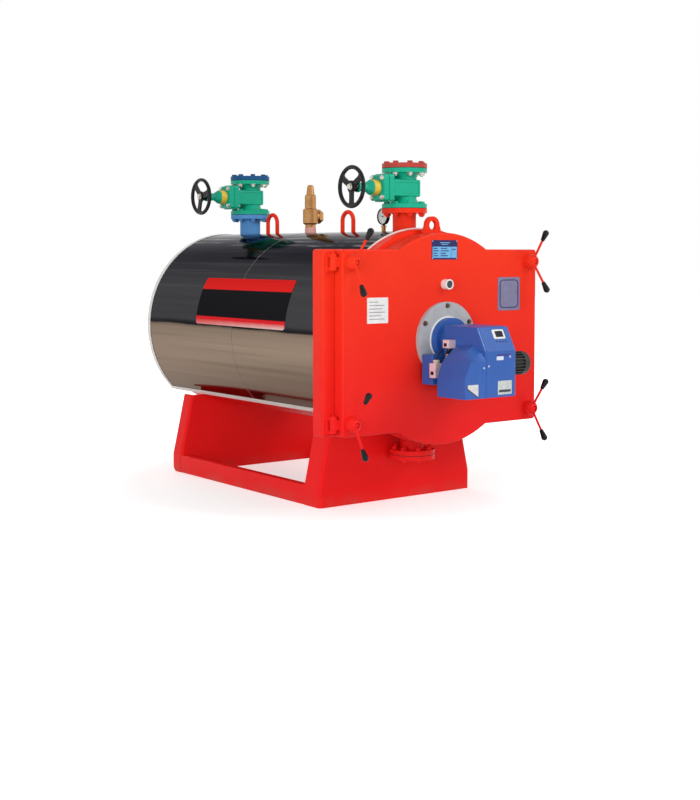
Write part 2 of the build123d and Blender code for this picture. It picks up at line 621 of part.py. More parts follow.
def door_lining():
    """Cast lining that fills the pan and plugs the frame's mouth."""
    y0 = DOOR_FRONT_Y + DOOR_SKIN_T
    y1 = FRAME_FRONT_Y + LINING_PLUG_D
    lining = on_axis(door_outline(shrink=DOOR_SKIN_T), y0, DOOR_BACK_Y)
    lining += cyl_y(LINING_R, DOOR_BACK_Y, y1, z=AXIS_Z)
    lining -= cyl_y(BLAST_R + LINING_BLAST_GAP, y0 - PAST, y1 + PAST, z=AXIS_Z)
    lining -= cyl_y(SIGHT_BORE_R, y0 - PAST, y1 + PAST, z=AXIS_Z + SIGHT_H)
    for _, x, z, _ in clamp_places():
        lining -= cyl_y(CLAMP_STUD_R + CLAMP_LINING_GAP, y0 - PAST, y1 + PAST, x, AXIS_Z + z)
    return lining


def door_gasket():
    """Flat rope seal round the lining's plug, on the door."""
    ring = Circle(LINING_R + GASKET_W) - Circle(LINING_R)
    return on_axis(ring, DOOR_BACK_Y, FRAME_FRONT_Y - GASKET_CLEAR)


def clamp_arm(side, start, end):
    """Two points on a clamp's arm, by their distance from the hub's middle."""
    root_y = DOOR_FRONT_Y - CLAMP_FACE_GAP - CLAMP_HUB_H / 2
    up = cos(radians(CLAMP_ARM_TILT)) * side
    out = -sin(radians(CLAMP_ARM_TILT))
    return [(0.0, root_y + out * d, up * d) for d in (start, end)]


def clamp_hub():
    """Domed clamp nut with a mouth for the stud's end, standing on the door's face."""
    corner = (CLAMP_HUB_R, 0, CLAMP_SKIRT_H)
    crown = (CLAMP_MOUTH_R, 0, CLAMP_HUB_H)
    bulge = ((CLAMP_HUB_R * 2 + CLAMP_MOUTH_R) / 3, 0, (CLAMP_HUB_H * 2 + CLAMP_SKIRT_H) / 3)
    floor_z = CLAMP_HUB_H - CLAMP_MOUTH_D
    skirt = Polyline((0, 0, floor_z), (0, 0, 0), (CLAMP_HUB_R, 0, 0), corner)
    mouth = Polyline(crown, (CLAMP_MOUTH_R, 0, floor_z), (0, 0, floor_z))
    face = make_face([skirt, ThreePointArc(corner, bulge, crown), mouth])
    return Plane(origin=(0, DOOR_FRONT_Y - CLAMP_FACE_GAP, 0), z_dir=(0, -1, 0)) * revolve(face, Axis.Z)


def door_clamp(x, z, angle):
    """Clamp nut with two raised arms and a stud through the door's skin."""
    stud_front = DOOR_FRONT_Y - CLAMP_FACE_GAP - CLAMP_HUB_H + CLAMP_STUD_RECESS
    clamp = clamp_hub() + cyl_y(CLAMP_STUD_R, stud_front, DOOR_BACK_Y - DOOR_SKIN_T)
    for side in (1, -1):
        clamp += rod(*clamp_arm(side, CLAMP_HUB_R / 2, CLAMP_ARM_L), CLAMP_ARM_R)
    return Pos(x, 0, AXIS_Z + z) * Rot(0, angle, 0) * clamp


def clamp_grip(side):
    """Tapered grip with a round end on one arm of a clamp."""
    start, end = clamp_arm(side, CLAMP_ARM_L, CLAMP_ARM_L + GRIP_L)
    shoulder = (GRIP_R, 0, GRIP_L - GRIP_R)
    round_mid = (GRIP_R * cos(radians(45)), 0, GRIP_L - GRIP_R + GRIP_R * sin(radians(45)))
    tip = (0, 0, GRIP_L)
    side_line = Polyline((0, 0, 0), (GRIP_NECK_R, 0, 0), shoulder)
    face = make_face([side_line, ThreePointArc(shoulder, round_mid, tip), Line(tip, (0, 0, 0))])
    return Plane(origin=start, z_dir=Vector(*end) - Vector(*start)) * revolve(face, Axis.Z)


def clamp_grips(x, z, angle):
    """Both grips of a clamp."""
    return Pos(x, 0, AXIS_Z + z) * Rot(0, angle, 0) * solids_together([clamp_grip(1), clamp_grip(-1)])


def burner_plate():
    """Ring plate that carries the burner on the door."""
    ring = Circle(BURNER_PLATE_R) - Circle(BURNER_NECK_R)
    return on_axis(ring, DOOR_FRONT_Y - BURNER_PLATE_T, DOOR_FRONT_Y)


def sight_tube():
    """Short tube to watch the flame, with a seat for its glass."""
    seat = SIGHT_L - SIGHT_GLASS_D
    profile = [(SIGHT_BORE_R, 0), (SIGHT_R, 0), (SIGHT_R, SIGHT_L), (SIGHT_GLASS_R, SIGHT_L),
               (SIGHT_GLASS_R, seat), (SIGHT_BORE_R, seat)]
    return turned(profile, (0, DOOR_FRONT_Y, AXIS_Z + SIGHT_H), (0, -1, 0))


# Burner
def burner_neck():
    """Blast tube and its neck, from the housing through the door into the furnace."""
    y1 = FRONT_TUBE_PLATE_Y + BLAST_PAST_PLATE
    inside = DOOR_FRONT_Y + DOOR_SKIN_T
    neck = cyl_y(BURNER_NECK_R - WELD_GAP, DOOR_FRONT_Y - BURNER_NECK_L, inside, z=AXIS_Z)
    neck += cyl_y(BLAST_R, HOUSING_BACK_Y, y1, z=AXIS_Z)
    return neck - cyl_y(BLAST_R - BLAST_T, inside, y1 + PAST, z=AXIS_Z)


def burner_housing():
    """Fan housing with a sloped control panel at its front and rounded edges."""
    top = AXIS_Z + HOUSING_TOP
    low = AXIS_Z - HOUSING_BOTTOM
    panel_top = (HOUSING_FRONT_Y + PANEL_SETBACK, top)
    panel_low = (HOUSING_FRONT_Y, top - PANEL_DROP)
    side = [(HOUSING_BACK_Y, low), (HOUSING_BACK_Y, top), panel_top, panel_low, (HOUSING_FRONT_Y, low)]
    face = make_face(Polyline(*[(-HOUSING_LEFT, y, z) for y, z in side], close=True))
    housing = extrude(face, amount=HOUSING_LEFT + HOUSING_RIGHT, dir=(1, 0, 0))
    soft = [e for e in housing.edges()
            if abs(e.center().Z - low) > NEAR and abs(e.center().Y - HOUSING_BACK_Y) > NEAR]
    return fillet(soft, HOUSING_EDGE_R)


def hood_section(i, d):
    """Outline of the air hood at one distance in front of the door."""
    right = -HOUSING_LEFT
    low = -HOUSING_BOTTOM
    points = [(right, low), (-HOOD_LEFT, low), (-HOOD_LEFT, -HOOD_WAIST[i]),
              (HOOD_SHOULDER_IN[i] - HOOD_LEFT, -HOOD_SHOULDER[i]),
              (HOOD_CROWN_IN[i] - HOOD_LEFT, -HOOD_CROWN[i]), (right, -HOOD_RIDGE[i])]
    return make_face(Polyline(*[(x, DOOR_FRONT_Y - d, AXIS_Z + z) for x, z in points], close=True))


def burner_hood():
    """Air hood on the housing's left: upright outer side, sloped shoulder and a bevelled brow."""
    stations = (HOOD_REAR, HOUSING_REACH - HOOD_BROW_BACK, HOUSING_REACH - HOOD_BEVEL_BACK, HOUSING_REACH)
    return loft([hood_section(i, d) for i, d in enumerate(stations)], ruled=True)


def burner_motor():
    """Finned fan motor on the right of the housing, with a flange and an end bell."""
    core_r = MOTOR_R - MOTOR_FIN_H
    section = Circle(core_r)
    for i in range(MOTOR_FINS):
        section += Rot(0, 0, 360.0 * i / MOTOR_FINS) * Pos(MOTOR_R / 2, 0) * Rectangle(MOTOR_R, MOTOR_FIN_T)
    motor = extrude(section, amount=MOTOR_L - MOTOR_BELL_L)
    motor += Cylinder(MOTOR_R, MOTOR_FLANGE_T, align=(Align.CENTER, Align.CENTER, Align.MIN))
    bell = Pos(0, 0, MOTOR_L - MOTOR_BELL_L) * Cylinder(
        MOTOR_R, MOTOR_BELL_L, align=(Align.CENTER, Align.CENTER, Align.MIN))
    bell = fillet(bell.edges().sort_by(Axis.Z)[-1], MOTOR_BELL_EDGE_R)
    place = Plane(origin=(HOUSING_RIGHT, DOOR_FRONT_Y - MOTOR_D, AXIS_Z - MOTOR_DROP), z_dir=(1, 0, 0))
    return place * (motor + bell)


def gas_box():
    """Gas valve block at the left of the neck, with its stub into the neck."""
    y0 = DOOR_FRONT_Y - GAS_BOX_FRONT
    y1 = DOOR_FRONT_Y - GAS_BOX_GAP
    box = block(-GAS_BOX_LEFT, -GAS_BOX_RIGHT, y0, y1, AXIS_Z - GAS_BOX_BOTTOM, AXIS_Z - GAS_BOX_TOP)
    box = fillet(box.edges(), GAS_BOX_EDGE_R)
    stub_z = AXIS_Z - BURNER_NECK_R + GAS_PIPE_R + GAS_PIPE_SET_IN
    stub_y = y1 - GAS_PIPE_SET_IN - GAS_PIPE_R
    box += cyl_x(GAS_PIPE_R, -GAS_BOX_RIGHT, 0, stub_y, stub_z)
    return box - cyl_y(BURNER_NECK_R, -FAR, FAR, z=AXIS_Z)


def burner_fittings():
    """Gas valve coil on the front of the gas box, and the air servo on the housing's left side."""
    coil_y1 = DOOR_FRONT_Y - GAS_BOX_FRONT
    coil_x0 = -GAS_BOX_LEFT - COIL_OUT
    coil_z1 = AXIS_Z - GAS_BOX_TOP - COIL_DROP - COIL_PLUG_H
    coil = block(coil_x0, coil_x0 + COIL_W, coil_y1 - COIL_D, coil_y1, coil_z1 - COIL_H, coil_z1)
    coil = fillet(coil.edges().filter_by(Axis.Z), SERVO_EDGE_R)
    coil += cyl_z(COIL_PLUG_R, coil_z1, coil_z1 + COIL_PLUG_H, coil_x0 + COIL_W / 2, coil_y1 - COIL_D / 2)
    servo_y0 = DOOR_FRONT_Y - HOOD_REAR + SERVO_HOOD_GAP
    servo_z0 = AXIS_Z - SERVO_DROP
    servo_y1 = servo_y0 + SERVO_D
    servo_x0 = -HOUSING_LEFT - SERVO_W
    servo = block(servo_x0, -HOUSING_LEFT, servo_y0, servo_y1, servo_z0, servo_z0 + SERVO_H)
    servo = fillet(servo.edges().group_by(Axis.X)[0], SERVO_EDGE_R)
    return solids_together([coil, servo])


# Pipe connections
def nozzle(y):
    """Pipe stub on top of the shell with its flange."""
    stub = cyl_z(PIPE_R, AXIS_Z, NOZZLE_FACE_Z, y=y)
    stub += cyl_z(FLANGE_R, NOZZLE_FACE_Z - FLANGE_T, NOZZLE_FACE_Z, y=y)
    stub -= cyl_z(PIPE_BORE_R, AXIS_Z - PAST, NOZZLE_FACE_Z + PAST, y=y)
    return stub - shell_cylinder()


def drain_nozzle():
    """Pipe stub under the shell's front with its flange."""
    stub = cyl_z(PIPE_R, DRAIN_FACE_Z, AXIS_Z, y=DRAIN_Y)
    stub += cyl_z(FLANGE_R, DRAIN_FACE_Z, DRAIN_FACE_Z + FLANGE_T, y=DRAIN_Y)
    stub -= cyl_z(PIPE_BORE_R, DRAIN_FACE_Z - PAST, AXIS_Z + PAST, y=DRAIN_Y)
    return stub - shell_cylinder()


def drain_cover():
    """Blind flange that closes the drain."""
    z1 = DRAIN_FACE_Z - PIPE_GASKET_T
    return cyl_z(FLANGE_R, z1 - FLANGE_T, z1, y=DRAIN_Y)


def flange_gasket(z0, y):
    """Flat gasket between two flanges."""
    profile = [(PIPE_BORE_R, 0), (PIPE_GASKET_R, 0), (PIPE_GASKET_R, PIPE_GASKET_T),
               (PIPE_BORE_R, PIPE_GASKET_T)]
    return turned(profile, (0, y, z0), (0, 0, 1))


def flange_gaskets():
    """Gaskets under and over the valves and over the drain's cover."""
    rings = [flange_gasket(z, y) for y in (SUPPLY_Y, RETURN_Y) for z in (NOZZLE_FACE_Z, VALVE_Z1)]
    rings.append(flange_gasket(DRAIN_FACE_Z - PIPE_GASKET_T, DRAIN_Y))
    return solids_together(rings)


def valve_body(y):
    """Cast gate valve body, closed by its gate, with flared necks and a square joint for the bonnet."""
    flare = VALVE_FLANGE_T + VALVE_FLARE_L
    top = VALVE_L - VALVE_FLANGE_T
    profile = [(0, 0), (FLANGE_R, 0), (FLANGE_R, VALVE_FLANGE_T), (VALVE_FLARE_R, VALVE_FLANGE_T),
               (VALVE_NECK_R, flare), (VALVE_NECK_R, VALVE_L - flare), (VALVE_FLARE_R, top), (FLANGE_R, top),
               (FLANGE_R, VALVE_L), (0, VALVE_L)]
    body = turned(profile, (0, y, VALVE_Z0), (0, 0, 1))
    half = VALVE_BODY_W / 2
    low = VALVE_MID_Z - VALVE_BODY_H / 2
    high = VALVE_MID_Z + VALVE_BODY_H / 2
    core = block(JOINT_X, VALVE_BODY_RIGHT, y - half, y + half, low, high)
    core = fillet([e for e in core.edges() if abs(e.center().X - JOINT_X) > NEAR], VALVE_BODY_EDGE_R)
    inset = VALVE_PANEL_BORDER + VALVE_BODY_EDGE_R
    for side in (-1, 1):
        core -= block(JOINT_X + inset, VALVE_BODY_RIGHT - inset, y + side * (half - VALVE_PANEL_D),
                      y + side * (half + PAST), low + inset, high - inset)
    body += core + joint_flange(JOINT_X, y)
    gate0 = VALVE_MID_Z - VALVE_GATE_T / 2
    body -= cyl_z(VALVE_BORE_R, VALVE_Z0 - PAST, gate0, y=y)
    return body - cyl_z(VALVE_BORE_R, gate0 + VALVE_GATE_T, VALVE_Z1 + PAST, y=y)


def joint_flange(x1, y):
    """Square flange with round corners, its right face at x1."""
    plane = Plane(origin=(x1, y, VALVE_MID_Z), x_dir=(0, 1, 0), z_dir=(-1, 0, 0))
    return extrude(plane * RectangleRounded(JOINT_W, JOINT_H, JOINT_CORNER_R), amount=JOINT_T)


def valve_bonnet(y):
    """Bonnet bolted to the valve's side: square flange, box, barrel, tapered nose and stem sleeve."""
    x_flange = JOINT_X - JOINT_T
    x_box = x_flange - JOINT_T
    x_nose = x_box - BONNET_L
    x_sleeve = -WHEEL_X + WHEEL_HUB_BACK + WHEEL_GAP
    box = block(x_nose, x_box, y - BONNET_W / 2, y + BONNET_W / 2, VALVE_MID_Z - BONNET_H / 2,
                VALVE_MID_Z + BONNET_H / 2)
    box = fillet([e for e in box.edges() if abs(e.center().X - x_box) > NEAR], BONNET_EDGE_R)
    sleeve_l = x_nose - x_sleeve
    collar = sleeve_l - SLEEVE_RING_L
    stem_l = sleeve_l + WHEEL_GAP + WHEEL_HUB_BACK + WHEEL_HUB_FRONT - STEM_RECESS
    nose = [(0, 0), (BARREL_R, 0), (BARREL_R, BARREL_L), (SLEEVE_R, BARREL_L + NOSE_L), (SLEEVE_R, collar),
            (SLEEVE_RING_R, collar), (SLEEVE_RING_R, sleeve_l), (STEM_R, sleeve_l), (STEM_R, stem_l),
            (0, stem_l)]
    return joint_flange(x_flange, y) + box + turned(nose, (x_nose, y, VALVE_MID_Z), (-1, 0, 0))


def counter_flange(y):
    """Loose flange on top of a valve, with a socket for the pipe that goes on and its bolt heads."""
    socket_r = PIPE_R + SOCKET_CLEAR
    shelf = FLANGE_T - SOCKET_D
    profile = [(PIPE_BORE_R, 0), (FLANGE_R, 0), (FLANGE_R, FLANGE_T), (socket_r, FLANGE_T), (socket_r, shelf),
               (PIPE_BORE_R, shelf)]
    flange = turned(profile, (0, y, COUNTER_Z0), (0, 0, 1))
    top = Plane(origin=(0, y, COUNTER_Z0 + FLANGE_T))
    places = PolarLocations(BOLT_RING_R, BOLT_COUNT, HALF_TURN / BOLT_COUNT)
    heads = places * RegularPolygon(BOLT_HEAD_R, 6)
    return flange + [extrude(top * head, amount=BOLT_HEAD_H) for head in heads]


def wheel_window(angle):
    """Rounded opening between two spokes, the first one at this angle."""
    step = 360.0 / WHEEL_SPOKES
    middle = radians(angle + step / 2)
    apex_d = WHEEL_SPOKE_W / 2 / sin(radians(step / 2))
    apex = (apex_d * cos(middle), apex_d * sin(middle))
    turns = (radians(angle), radians(angle + step))
    corners = [(apex[0] + FAR * cos(a), apex[1] + FAR * sin(a)) for a in turns]
    sector = make_face(Polyline(apex, corners[0], corners[1], close=True))
    window = (Circle(WHEEL_R - WHEEL_RIM_R / 2) - Circle(WHEEL_HUB_R + WHEEL_WINDOW_R / 2)) & sector
    return fillet(window.vertices(), WHEEL_WINDOW_R)


def handwheel(y, turn):
    """Cast handwheel on the valve's stem: round rim, flat spokes and hub."""
    step = 360.0 / WHEEL_SPOKES
    web = Circle(WHEEL_R)
    for i in range(WHEEL_SPOKES):
        web -= wheel_window(turn + step * i)
    wheel = Pos(0, 0, -WHEEL_WEB_T / 2) * extrude(web, amount=WHEEL_WEB_T)
    wheel += Torus(WHEEL_R, WHEEL_RIM_R)
    wheel += cyl_z(WHEEL_HUB_R, -WHEEL_HUB_FRONT, WHEEL_HUB_BACK)
    wheel -= cyl_z(STEM_R + STEM_CLEAR, -WHEEL_HUB_FRONT - PAST, WHEEL_HUB_BACK + PAST)
    return Pos(-WHEEL_X, y, VALVE_MID_Z) * Rot(0, 90, 0) * wheel


# Fittings on top
def safety_nipple():
    """Stub for the safety valve."""
    return cyl_z(NIPPLE_R, AXIS_Z, CLAD_TOP_Z + NIPPLE_RISE, y=SAFETY_Y) - shell_cylinder()


def safety_valve():
    """Turned spring safety valve with a side outlet to the right."""
    z_body = SAFETY_NECK_L + SAFETY_BODY_L
    z_bonnet = z_body + SAFETY_BONNET_L
    z_top = z_bonnet + SAFETY_CAP_L
    bevel = SAFETY_BEVEL
    profile = [(0, 0), (SAFETY_NECK_R, 0), (SAFETY_NECK_R, SAFETY_NECK_L),
               (SAFETY_BODY_R - bevel, SAFETY_NECK_L), (SAFETY_BODY_R, SAFETY_NECK_L + bevel),
               (SAFETY_BODY_R, z_body - bevel), (SAFETY_BONNET_R, z_body),
               (SAFETY_BONNET_R, z_bonnet - bevel), (SAFETY_CAP_R, z_bonnet),
               (SAFETY_CAP_TIP_R, z_top - bevel), (SAFETY_CAP_TIP_R - bevel, z_top), (0, z_top)]
    z0 = CLAD_TOP_Z + NIPPLE_RISE
    outlet_z = z0 + SAFETY_NECK_L + SAFETY_BODY_L / 2
    valve = turned(profile, (0, SAFETY_Y, z0), (0, 0, 1))
    valve += cyl_x(OUTLET_R, 0, OUTLET_L, SAFETY_Y, outlet_z)
    nut_plane = Plane(origin=(OUTLET_L, SAFETY_Y, outlet_z), x_dir=(0, 0, 1), z_dir=(-1, 0, 0))
    valve += extrude(nut_plane * RegularPolygon(OUTLET_NUT_R, 6), amount=OUTLET_NUT_L)
    return valve - cyl_x(OUTLET_BORE_R, OUTLET_L - OUTLET_BORE_D, OUTLET_L + PAST, SAFETY_Y, outlet_z)


def pressure_gauge():
    """Round gauge that faces the left side, on its stem."""
    z = CLAD_TOP_Z + GAUGE_RISE
    dial_r = GAUGE_R - GAUGE_BEZEL
    profile = [(0, 0), (dial_r, 0), (GAUGE_R, GAUGE_BEZEL), (GAUGE_R, GAUGE_T), (dial_r, GAUGE_T),
               (dial_r, GAUGE_T - GAUGE_BEZEL), (0, GAUGE_T - GAUGE_BEZEL)]
    case = turned(profile, (GAUGE_T / 2, GAUGE_Y, z), (-1, 0, 0))
    return case + cyl_z(GAUGE_STEM_R, CLAD_TOP_Z + COCK_RISE, z - dial_r, y=GAUGE_Y)


def gauge_cock():
    """Brass cock under the gauge, with a ring at its top."""
    top = CLAD_TOP_Z + COCK_RISE
    cock = cyl_z(COCK_R, AXIS_Z, top, y=GAUGE_Y) + cyl_z(COCK_RING_R, top - COCK_RING_H, top, y=GAUGE_Y)
    return cock - shell_cylinder()


def lifting_bail(y):
    """Bent round bar on top of the shell, to lift the boiler by."""
    z = CLAD_TOP_Z + BAIL_RISE - BAIL_BAR_R - BAIL_BEND_R
    foot_l = z - AXIS_Z
    start = (0, y - BAIL_BEND_R, AXIS_Z)
    left_leg = Line(start, (0, y - BAIL_BEND_R, z))
    arch = ThreePointArc((0, y - BAIL_BEND_R, z), (0, y, z + BAIL_BEND_R), (0, y + BAIL_BEND_R, z))
    right_leg = Line((0, y + BAIL_BEND_R, z), (0, y + BAIL_BEND_R, z - foot_l))
    path = Wire([left_leg, arch, right_leg])
    bar = sweep(Plane(origin=start, z_dir=(0, 0, 1)) * Circle(BAIL_BAR_R), path=path)
    return bar - shell_cylinder()


def front_lug():
    """Plate lug on top of the front frame: round nose and a wide foot."""
    foot_z = DOOR_R - FRAME_SKIN_T
    nose_z = DOOR_R + LUG_RISE - LUG_NOSE_R
    half = LUG_W / 2
    plate = Pos(0, nose_z) * Circle(LUG_NOSE_R)
    plate += make_face(Polyline((-half, foot_z), (half, foot_z), (LUG_NOSE_R, nose_z), (-LUG_NOSE_R, nose_z),
                                close=True))
    plate -= Pos(0, nose_z) * Circle(LUG_HOLE_R)
    plate -= Circle(DOOR_R + WELD_GAP)
    y = FRAME_FRONT_Y + FRAME_D / 2
    return on_axis(plate, y - LUG_T / 2, y + LUG_T / 2)


# Rear smoke box and flue
def smoke_cover():
    """Bolted cover of the rear smoke box with the flue spigot."""
    profile = [(FLUE_R - FLUE_T, 0), (SHELL_R, 0), (SHELL_R, SMOKE_COVER_T), (FLUE_R, SMOKE_COVER_T),
               (FLUE_R, SMOKE_COVER_T + FLUE_L), (FLUE_R - FLUE_T, SMOKE_COVER_T + FLUE_L)]
    return turned(profile, (0, SHELL_REAR_Y, AXIS_Z), (0, 1, 0))


def save_pedestal_and_shell():
    """Pedestal, pressure shell, its inside and its cladding."""
    save("pedestal_front", pedestal_plate(0.0, FRONT_FLANGE_D))
    save("pedestal_rear", rear_pedestal_plate())
    save("pedestal_rail_right", pedestal_rail())
    save("pedestal_rail_left", mirror(pedestal_rail(), about=Plane.YZ))
    save("shell", pressure_shell())
    save("front_tube_plate", tube_plate(FRONT_TUBE_PLATE_Y, True))
    save("rear_tube_plate", tube_plate(REAR_TUBE_PLATE_Y, False))
    save("furnace", furnace_tube())
    save("smoke_tubes", smoke_tubes())
    save("smoke_cover", smoke_cover())
    save("insulation", insulation())
    save("cladding", cladding())
    save("cladding_end_rings", solids_together([front_ring(), rear_ring()]))
    save("cladding_edge_strips", edge_strips())
    save("front_collar", front_collar())


def save_front():
    """Front frame, door with its clamps, and burner."""
    save("front_frame", front_frame())
    save("hinge_brackets", solids_together([hinge_bracket(z) for z in hinge_heights()]))
    save("door_plate", door_plate())
    save("door_lining", door_lining())
    save("door_gasket", door_gasket())
    for name, x, z, angle in clamp_places():
        save(f"clamp_{name}", door_clamp(x, z, angle))
        save(f"clamp_{name}_grips", clamp_grips(x, z, angle))
    save("sight_tube", sight_tube())
    save("burner_plate", burner_plate())
    save("burner_neck", burner_neck())
    save("burner_housing", burner_housing())
    save("burner_hood", burner_hood())
    save("burner_motor", burner_motor())
    save("burner_gas_box", gas_box())
    save("burner_fittings", burner_fittings())


def save_fittings():
    """Pipe connections with their valves, and what stands on top."""
    for name, y, turn in (("supply", SUPPLY_Y, SUPPLY_WHEEL_TURN), ("return", RETURN_Y, RETURN_WHEEL_TURN)):
        save(f"{name}_nozzle", nozzle(y))
        save(f"{name}_valve_body", valve_body(y))
        save(f"{name}_valve_bonnet", valve_bonnet(y))
        save(f"{name}_counter_flange", counter_flange(y))
        save(f"{name}_handwheel", handwheel(y, turn))
    save("flange_gaskets", flange_gaskets())
    save("drain_nozzle", drain_nozzle())
    save("drain_cover", drain_cover())
    save("safety_nipple", safety_nipple())
    save("safety_valve", safety_valve())
    save("pressure_gauge", pressure_gauge())
    save("gauge_cock", gauge_cock())
    save("lifting_bail_middle", lifting_bail(BAIL_MIDDLE_Y))
    save("lifting_bail_rear", lifting_bail(BAIL_REAR_Y))
    save("lifting_lug_front", front_lug())


save_pedestal_and_shell()
save_front()
save_fittings()
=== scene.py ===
"""Looks of the boiler: materials, fasteners, plates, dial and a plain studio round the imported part.

Lengths are metres in the part's own frame.
"""
import json
import math

import bmesh
import bpy
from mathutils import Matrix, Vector


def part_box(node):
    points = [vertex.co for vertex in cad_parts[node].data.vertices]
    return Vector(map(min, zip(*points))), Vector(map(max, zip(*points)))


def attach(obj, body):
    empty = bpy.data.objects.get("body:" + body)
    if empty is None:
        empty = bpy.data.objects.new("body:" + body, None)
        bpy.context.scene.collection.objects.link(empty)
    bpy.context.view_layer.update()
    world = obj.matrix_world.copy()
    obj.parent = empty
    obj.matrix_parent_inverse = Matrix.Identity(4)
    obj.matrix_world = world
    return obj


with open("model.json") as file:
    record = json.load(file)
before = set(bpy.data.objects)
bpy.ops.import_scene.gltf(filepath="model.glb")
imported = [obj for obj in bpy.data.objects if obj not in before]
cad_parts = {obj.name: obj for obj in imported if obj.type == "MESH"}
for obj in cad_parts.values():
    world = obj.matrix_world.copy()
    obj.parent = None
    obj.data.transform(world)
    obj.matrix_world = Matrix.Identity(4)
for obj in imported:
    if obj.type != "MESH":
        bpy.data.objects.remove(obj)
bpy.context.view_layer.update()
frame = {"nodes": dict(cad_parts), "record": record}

nodes = frame["nodes"]

# Places read from the frame
SHELL_LOW, SHELL_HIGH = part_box("shell")
AXIS_Z = (SHELL_LOW.z + SHELL_HIGH.z) / 2
SHELL_R = (SHELL_HIGH.x - SHELL_LOW.x) / 2
CLAD_LOW, CLAD_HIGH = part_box("cladding")
CLAD_R = CLAD_HIGH.z - AXIS_Z
DOOR_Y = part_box("door_plate")[0].y
HOUSING_LOW, HOUSING_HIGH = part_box("burner_housing")

# Directions, and the signs of a rectangle's four corners
FRONT, BACK = Vector((0, -1, 0)), Vector((0, 1, 0))
LEFT, RIGHT = Vector((-1, 0, 0)), Vector((1, 0, 0))
UP, DOWN = Vector((0, 0, 1)), Vector((0, 0, -1))
CORNERS = ((-1, -1), (1, -1), (1, 1), (-1, 1))

# Mesh kit
TINY = 1e-9
HEXAGON = 6
SHARP_ANGLE = math.radians(38.0)
BEAD_SIDES = 8
WELD_RIPPLE = 0.12  # share of a bead's radius
RIPPLE_PITCH = 3  # points of a bead from one ripple to the next
STEEP = 0.95  # past this climb a bead takes any side direction

# Bolt heads and rivets, as shares of their radius; profiles are (radius, height) pairs
WASHER_R = 1.95
WASHER_EDGE_R = 1.85
WASHER_HOLE_R = 1.2
WASHER_T = 0.30
HEAD_R = 1.72
HEAD_H = 1.15
HEAD_BEVEL = 0.18
RIVET_PROFILE = ((1.0, 0.0), (0.9, 0.25), (0.55, 0.45), (0.0, 0.52))

# Turn from each hexagon to the next, in radians
NUT_TURN = 0.7
BOLT_TURN = 0.5
LOWER_NUT_TURN = JOINT_BOLT_TURN = 0.9
BOX_BOLT_TURN = 0.4
PLATE_BOLT_TURN = 0.6
WHEEL_NUT_TURN = 0.2  # the wheel's single nut

# Flanges of the pipes, valves and drain
BOLT_R = 0.008
STUD = 0.006  # stud's end past its nut
BOLT_PCD_R = 0.090
FLANGE_BOLTS = 8
FLANGE_T = 0.022
VALVE_FLANGE_T = 0.020
PIPE_WELD_R = 0.0585
PIPE_WELD_LIFT = 0.001  # bead's middle off the flange
PIPE_BEAD_R = 0.0035
PIPE_WELD_STEPS = 48

# Valve's bonnet; bolts lie out from its axis by these lengths along y and z
JOINT_BOLT_R = 0.0062
JOINT_BOLT_OUT = (0.046, 0.0545)
JOINT_T = 0.013
BONNET_BOX_L = 0.030
BOX_BOLT_OUT = (0.040, 0.046)
TAG_PROFILE = ((0.0366, 0), (0.0376, 0.0006), (0.0376, 0.0344), (0.0366, 0.035))
TAG_GAP = 0.004
HUB_BACK_FROM_RIM = 0.002

# Gauge's dial: angles in degrees, shares of its radius
GAUGE_RIM = 0.005  # wall round the dial, and the depth it lies at
DIAL_GAP = 0.0002
DIAL_T = 0.0006
PRINT_SINK = 0.0001
MARK_COUNT = 21
MARK_FIRST_ANGLE = 225
MARK_STEP_ANGLE = 13.5
MARK = (0.0004, 0.80)  # half width, and the inner end's share
LONG_MARK = (0.0008, 0.72)
LONG_MARK_EVERY = 4
MARK_END = 0.92
MARK_SHEET = (0.0003, 0.0001)
NEEDLE_ANGLE = 170
NEEDLE_SHARE = 0.80
NEEDLE_TAIL = 0.010
NEEDLE_HALF_WIDTHS = (0.0014, 0.0003)  # tail and tip
NEEDLE_LIFT = 0.0015
NEEDLE_SHEET = (0.0006, 0.0002)
NEEDLE_HUB_PROFILE = ((0.0034, 0), (0.0034, 0.002), (0.0024, 0.0026), (0, 0.0026))

# Plates on the door: left, right, low and high edges; what lies in one is placed from its lower left
# corner. A sheet is its thickness and its softened edge.
PRINT_T = 0.0002
PRINT_EDGE = 0.25 * PRINT_T
DATA_PLATE = (-0.082, 0.077, 1.182, 1.273)
DATA_PLATE_CORNER = 0.005
DATA_PLATE_T = 0.0014
DATA_PLATE_EDGE = 0.0005
DATA_FIELDS = ((0.004, 0.119, 0.008, 0.060), (0.121, 0.155, 0.008, 0.060))
DATA_FIELD_T = 0.0003
DATA_FIELD_EDGE = 0.0001
DATA_HEAD_BARS = ((0.050, 0.111, 0.077, 0.081), (0.060, 0.101, 0.069, 0.0725))
DATA_SIDE_BAR = (0.126, 0.147, 0.045, 0.050)
DATA_BARS = (0.026, 0.034, 0.022, 0.030)
DATA_COLUMNS = ((0.009, 1.0), (0.054, 1.5))  # left end, and share of the bar's length
DATA_BAR_TOP = 0.052
DATA_BAR_PITCH = 0.0115
DATA_BAR_HALF_H = 0.0022
DATA_RIVET_R = 0.0024
DATA_RIVET_INSET = 0.005
STICKER = (-0.462, -0.341, 0.894, 1.011)
STICKER_CORNER = 0.004
STICKER_T = 0.0005
STICKER_EDGE = 0.0002
STICKER_BARS = (0.050, 0.086, 0.074, 0.092, 0.066, 0.088)
STICKER_COLUMNS = ((0.012, 1.0),)
STICKER_BAR_TOP = 0.097
STICKER_BAR_PITCH = 0.0155
STICKER_BAR_HALF_H = 0.0018
BADGE = (0.340, 0.487, 0.933, 1.095)
BADGE_CORNER = 0.010
BADGE_T = 0.0024
BADGE_EDGE = 0.0009
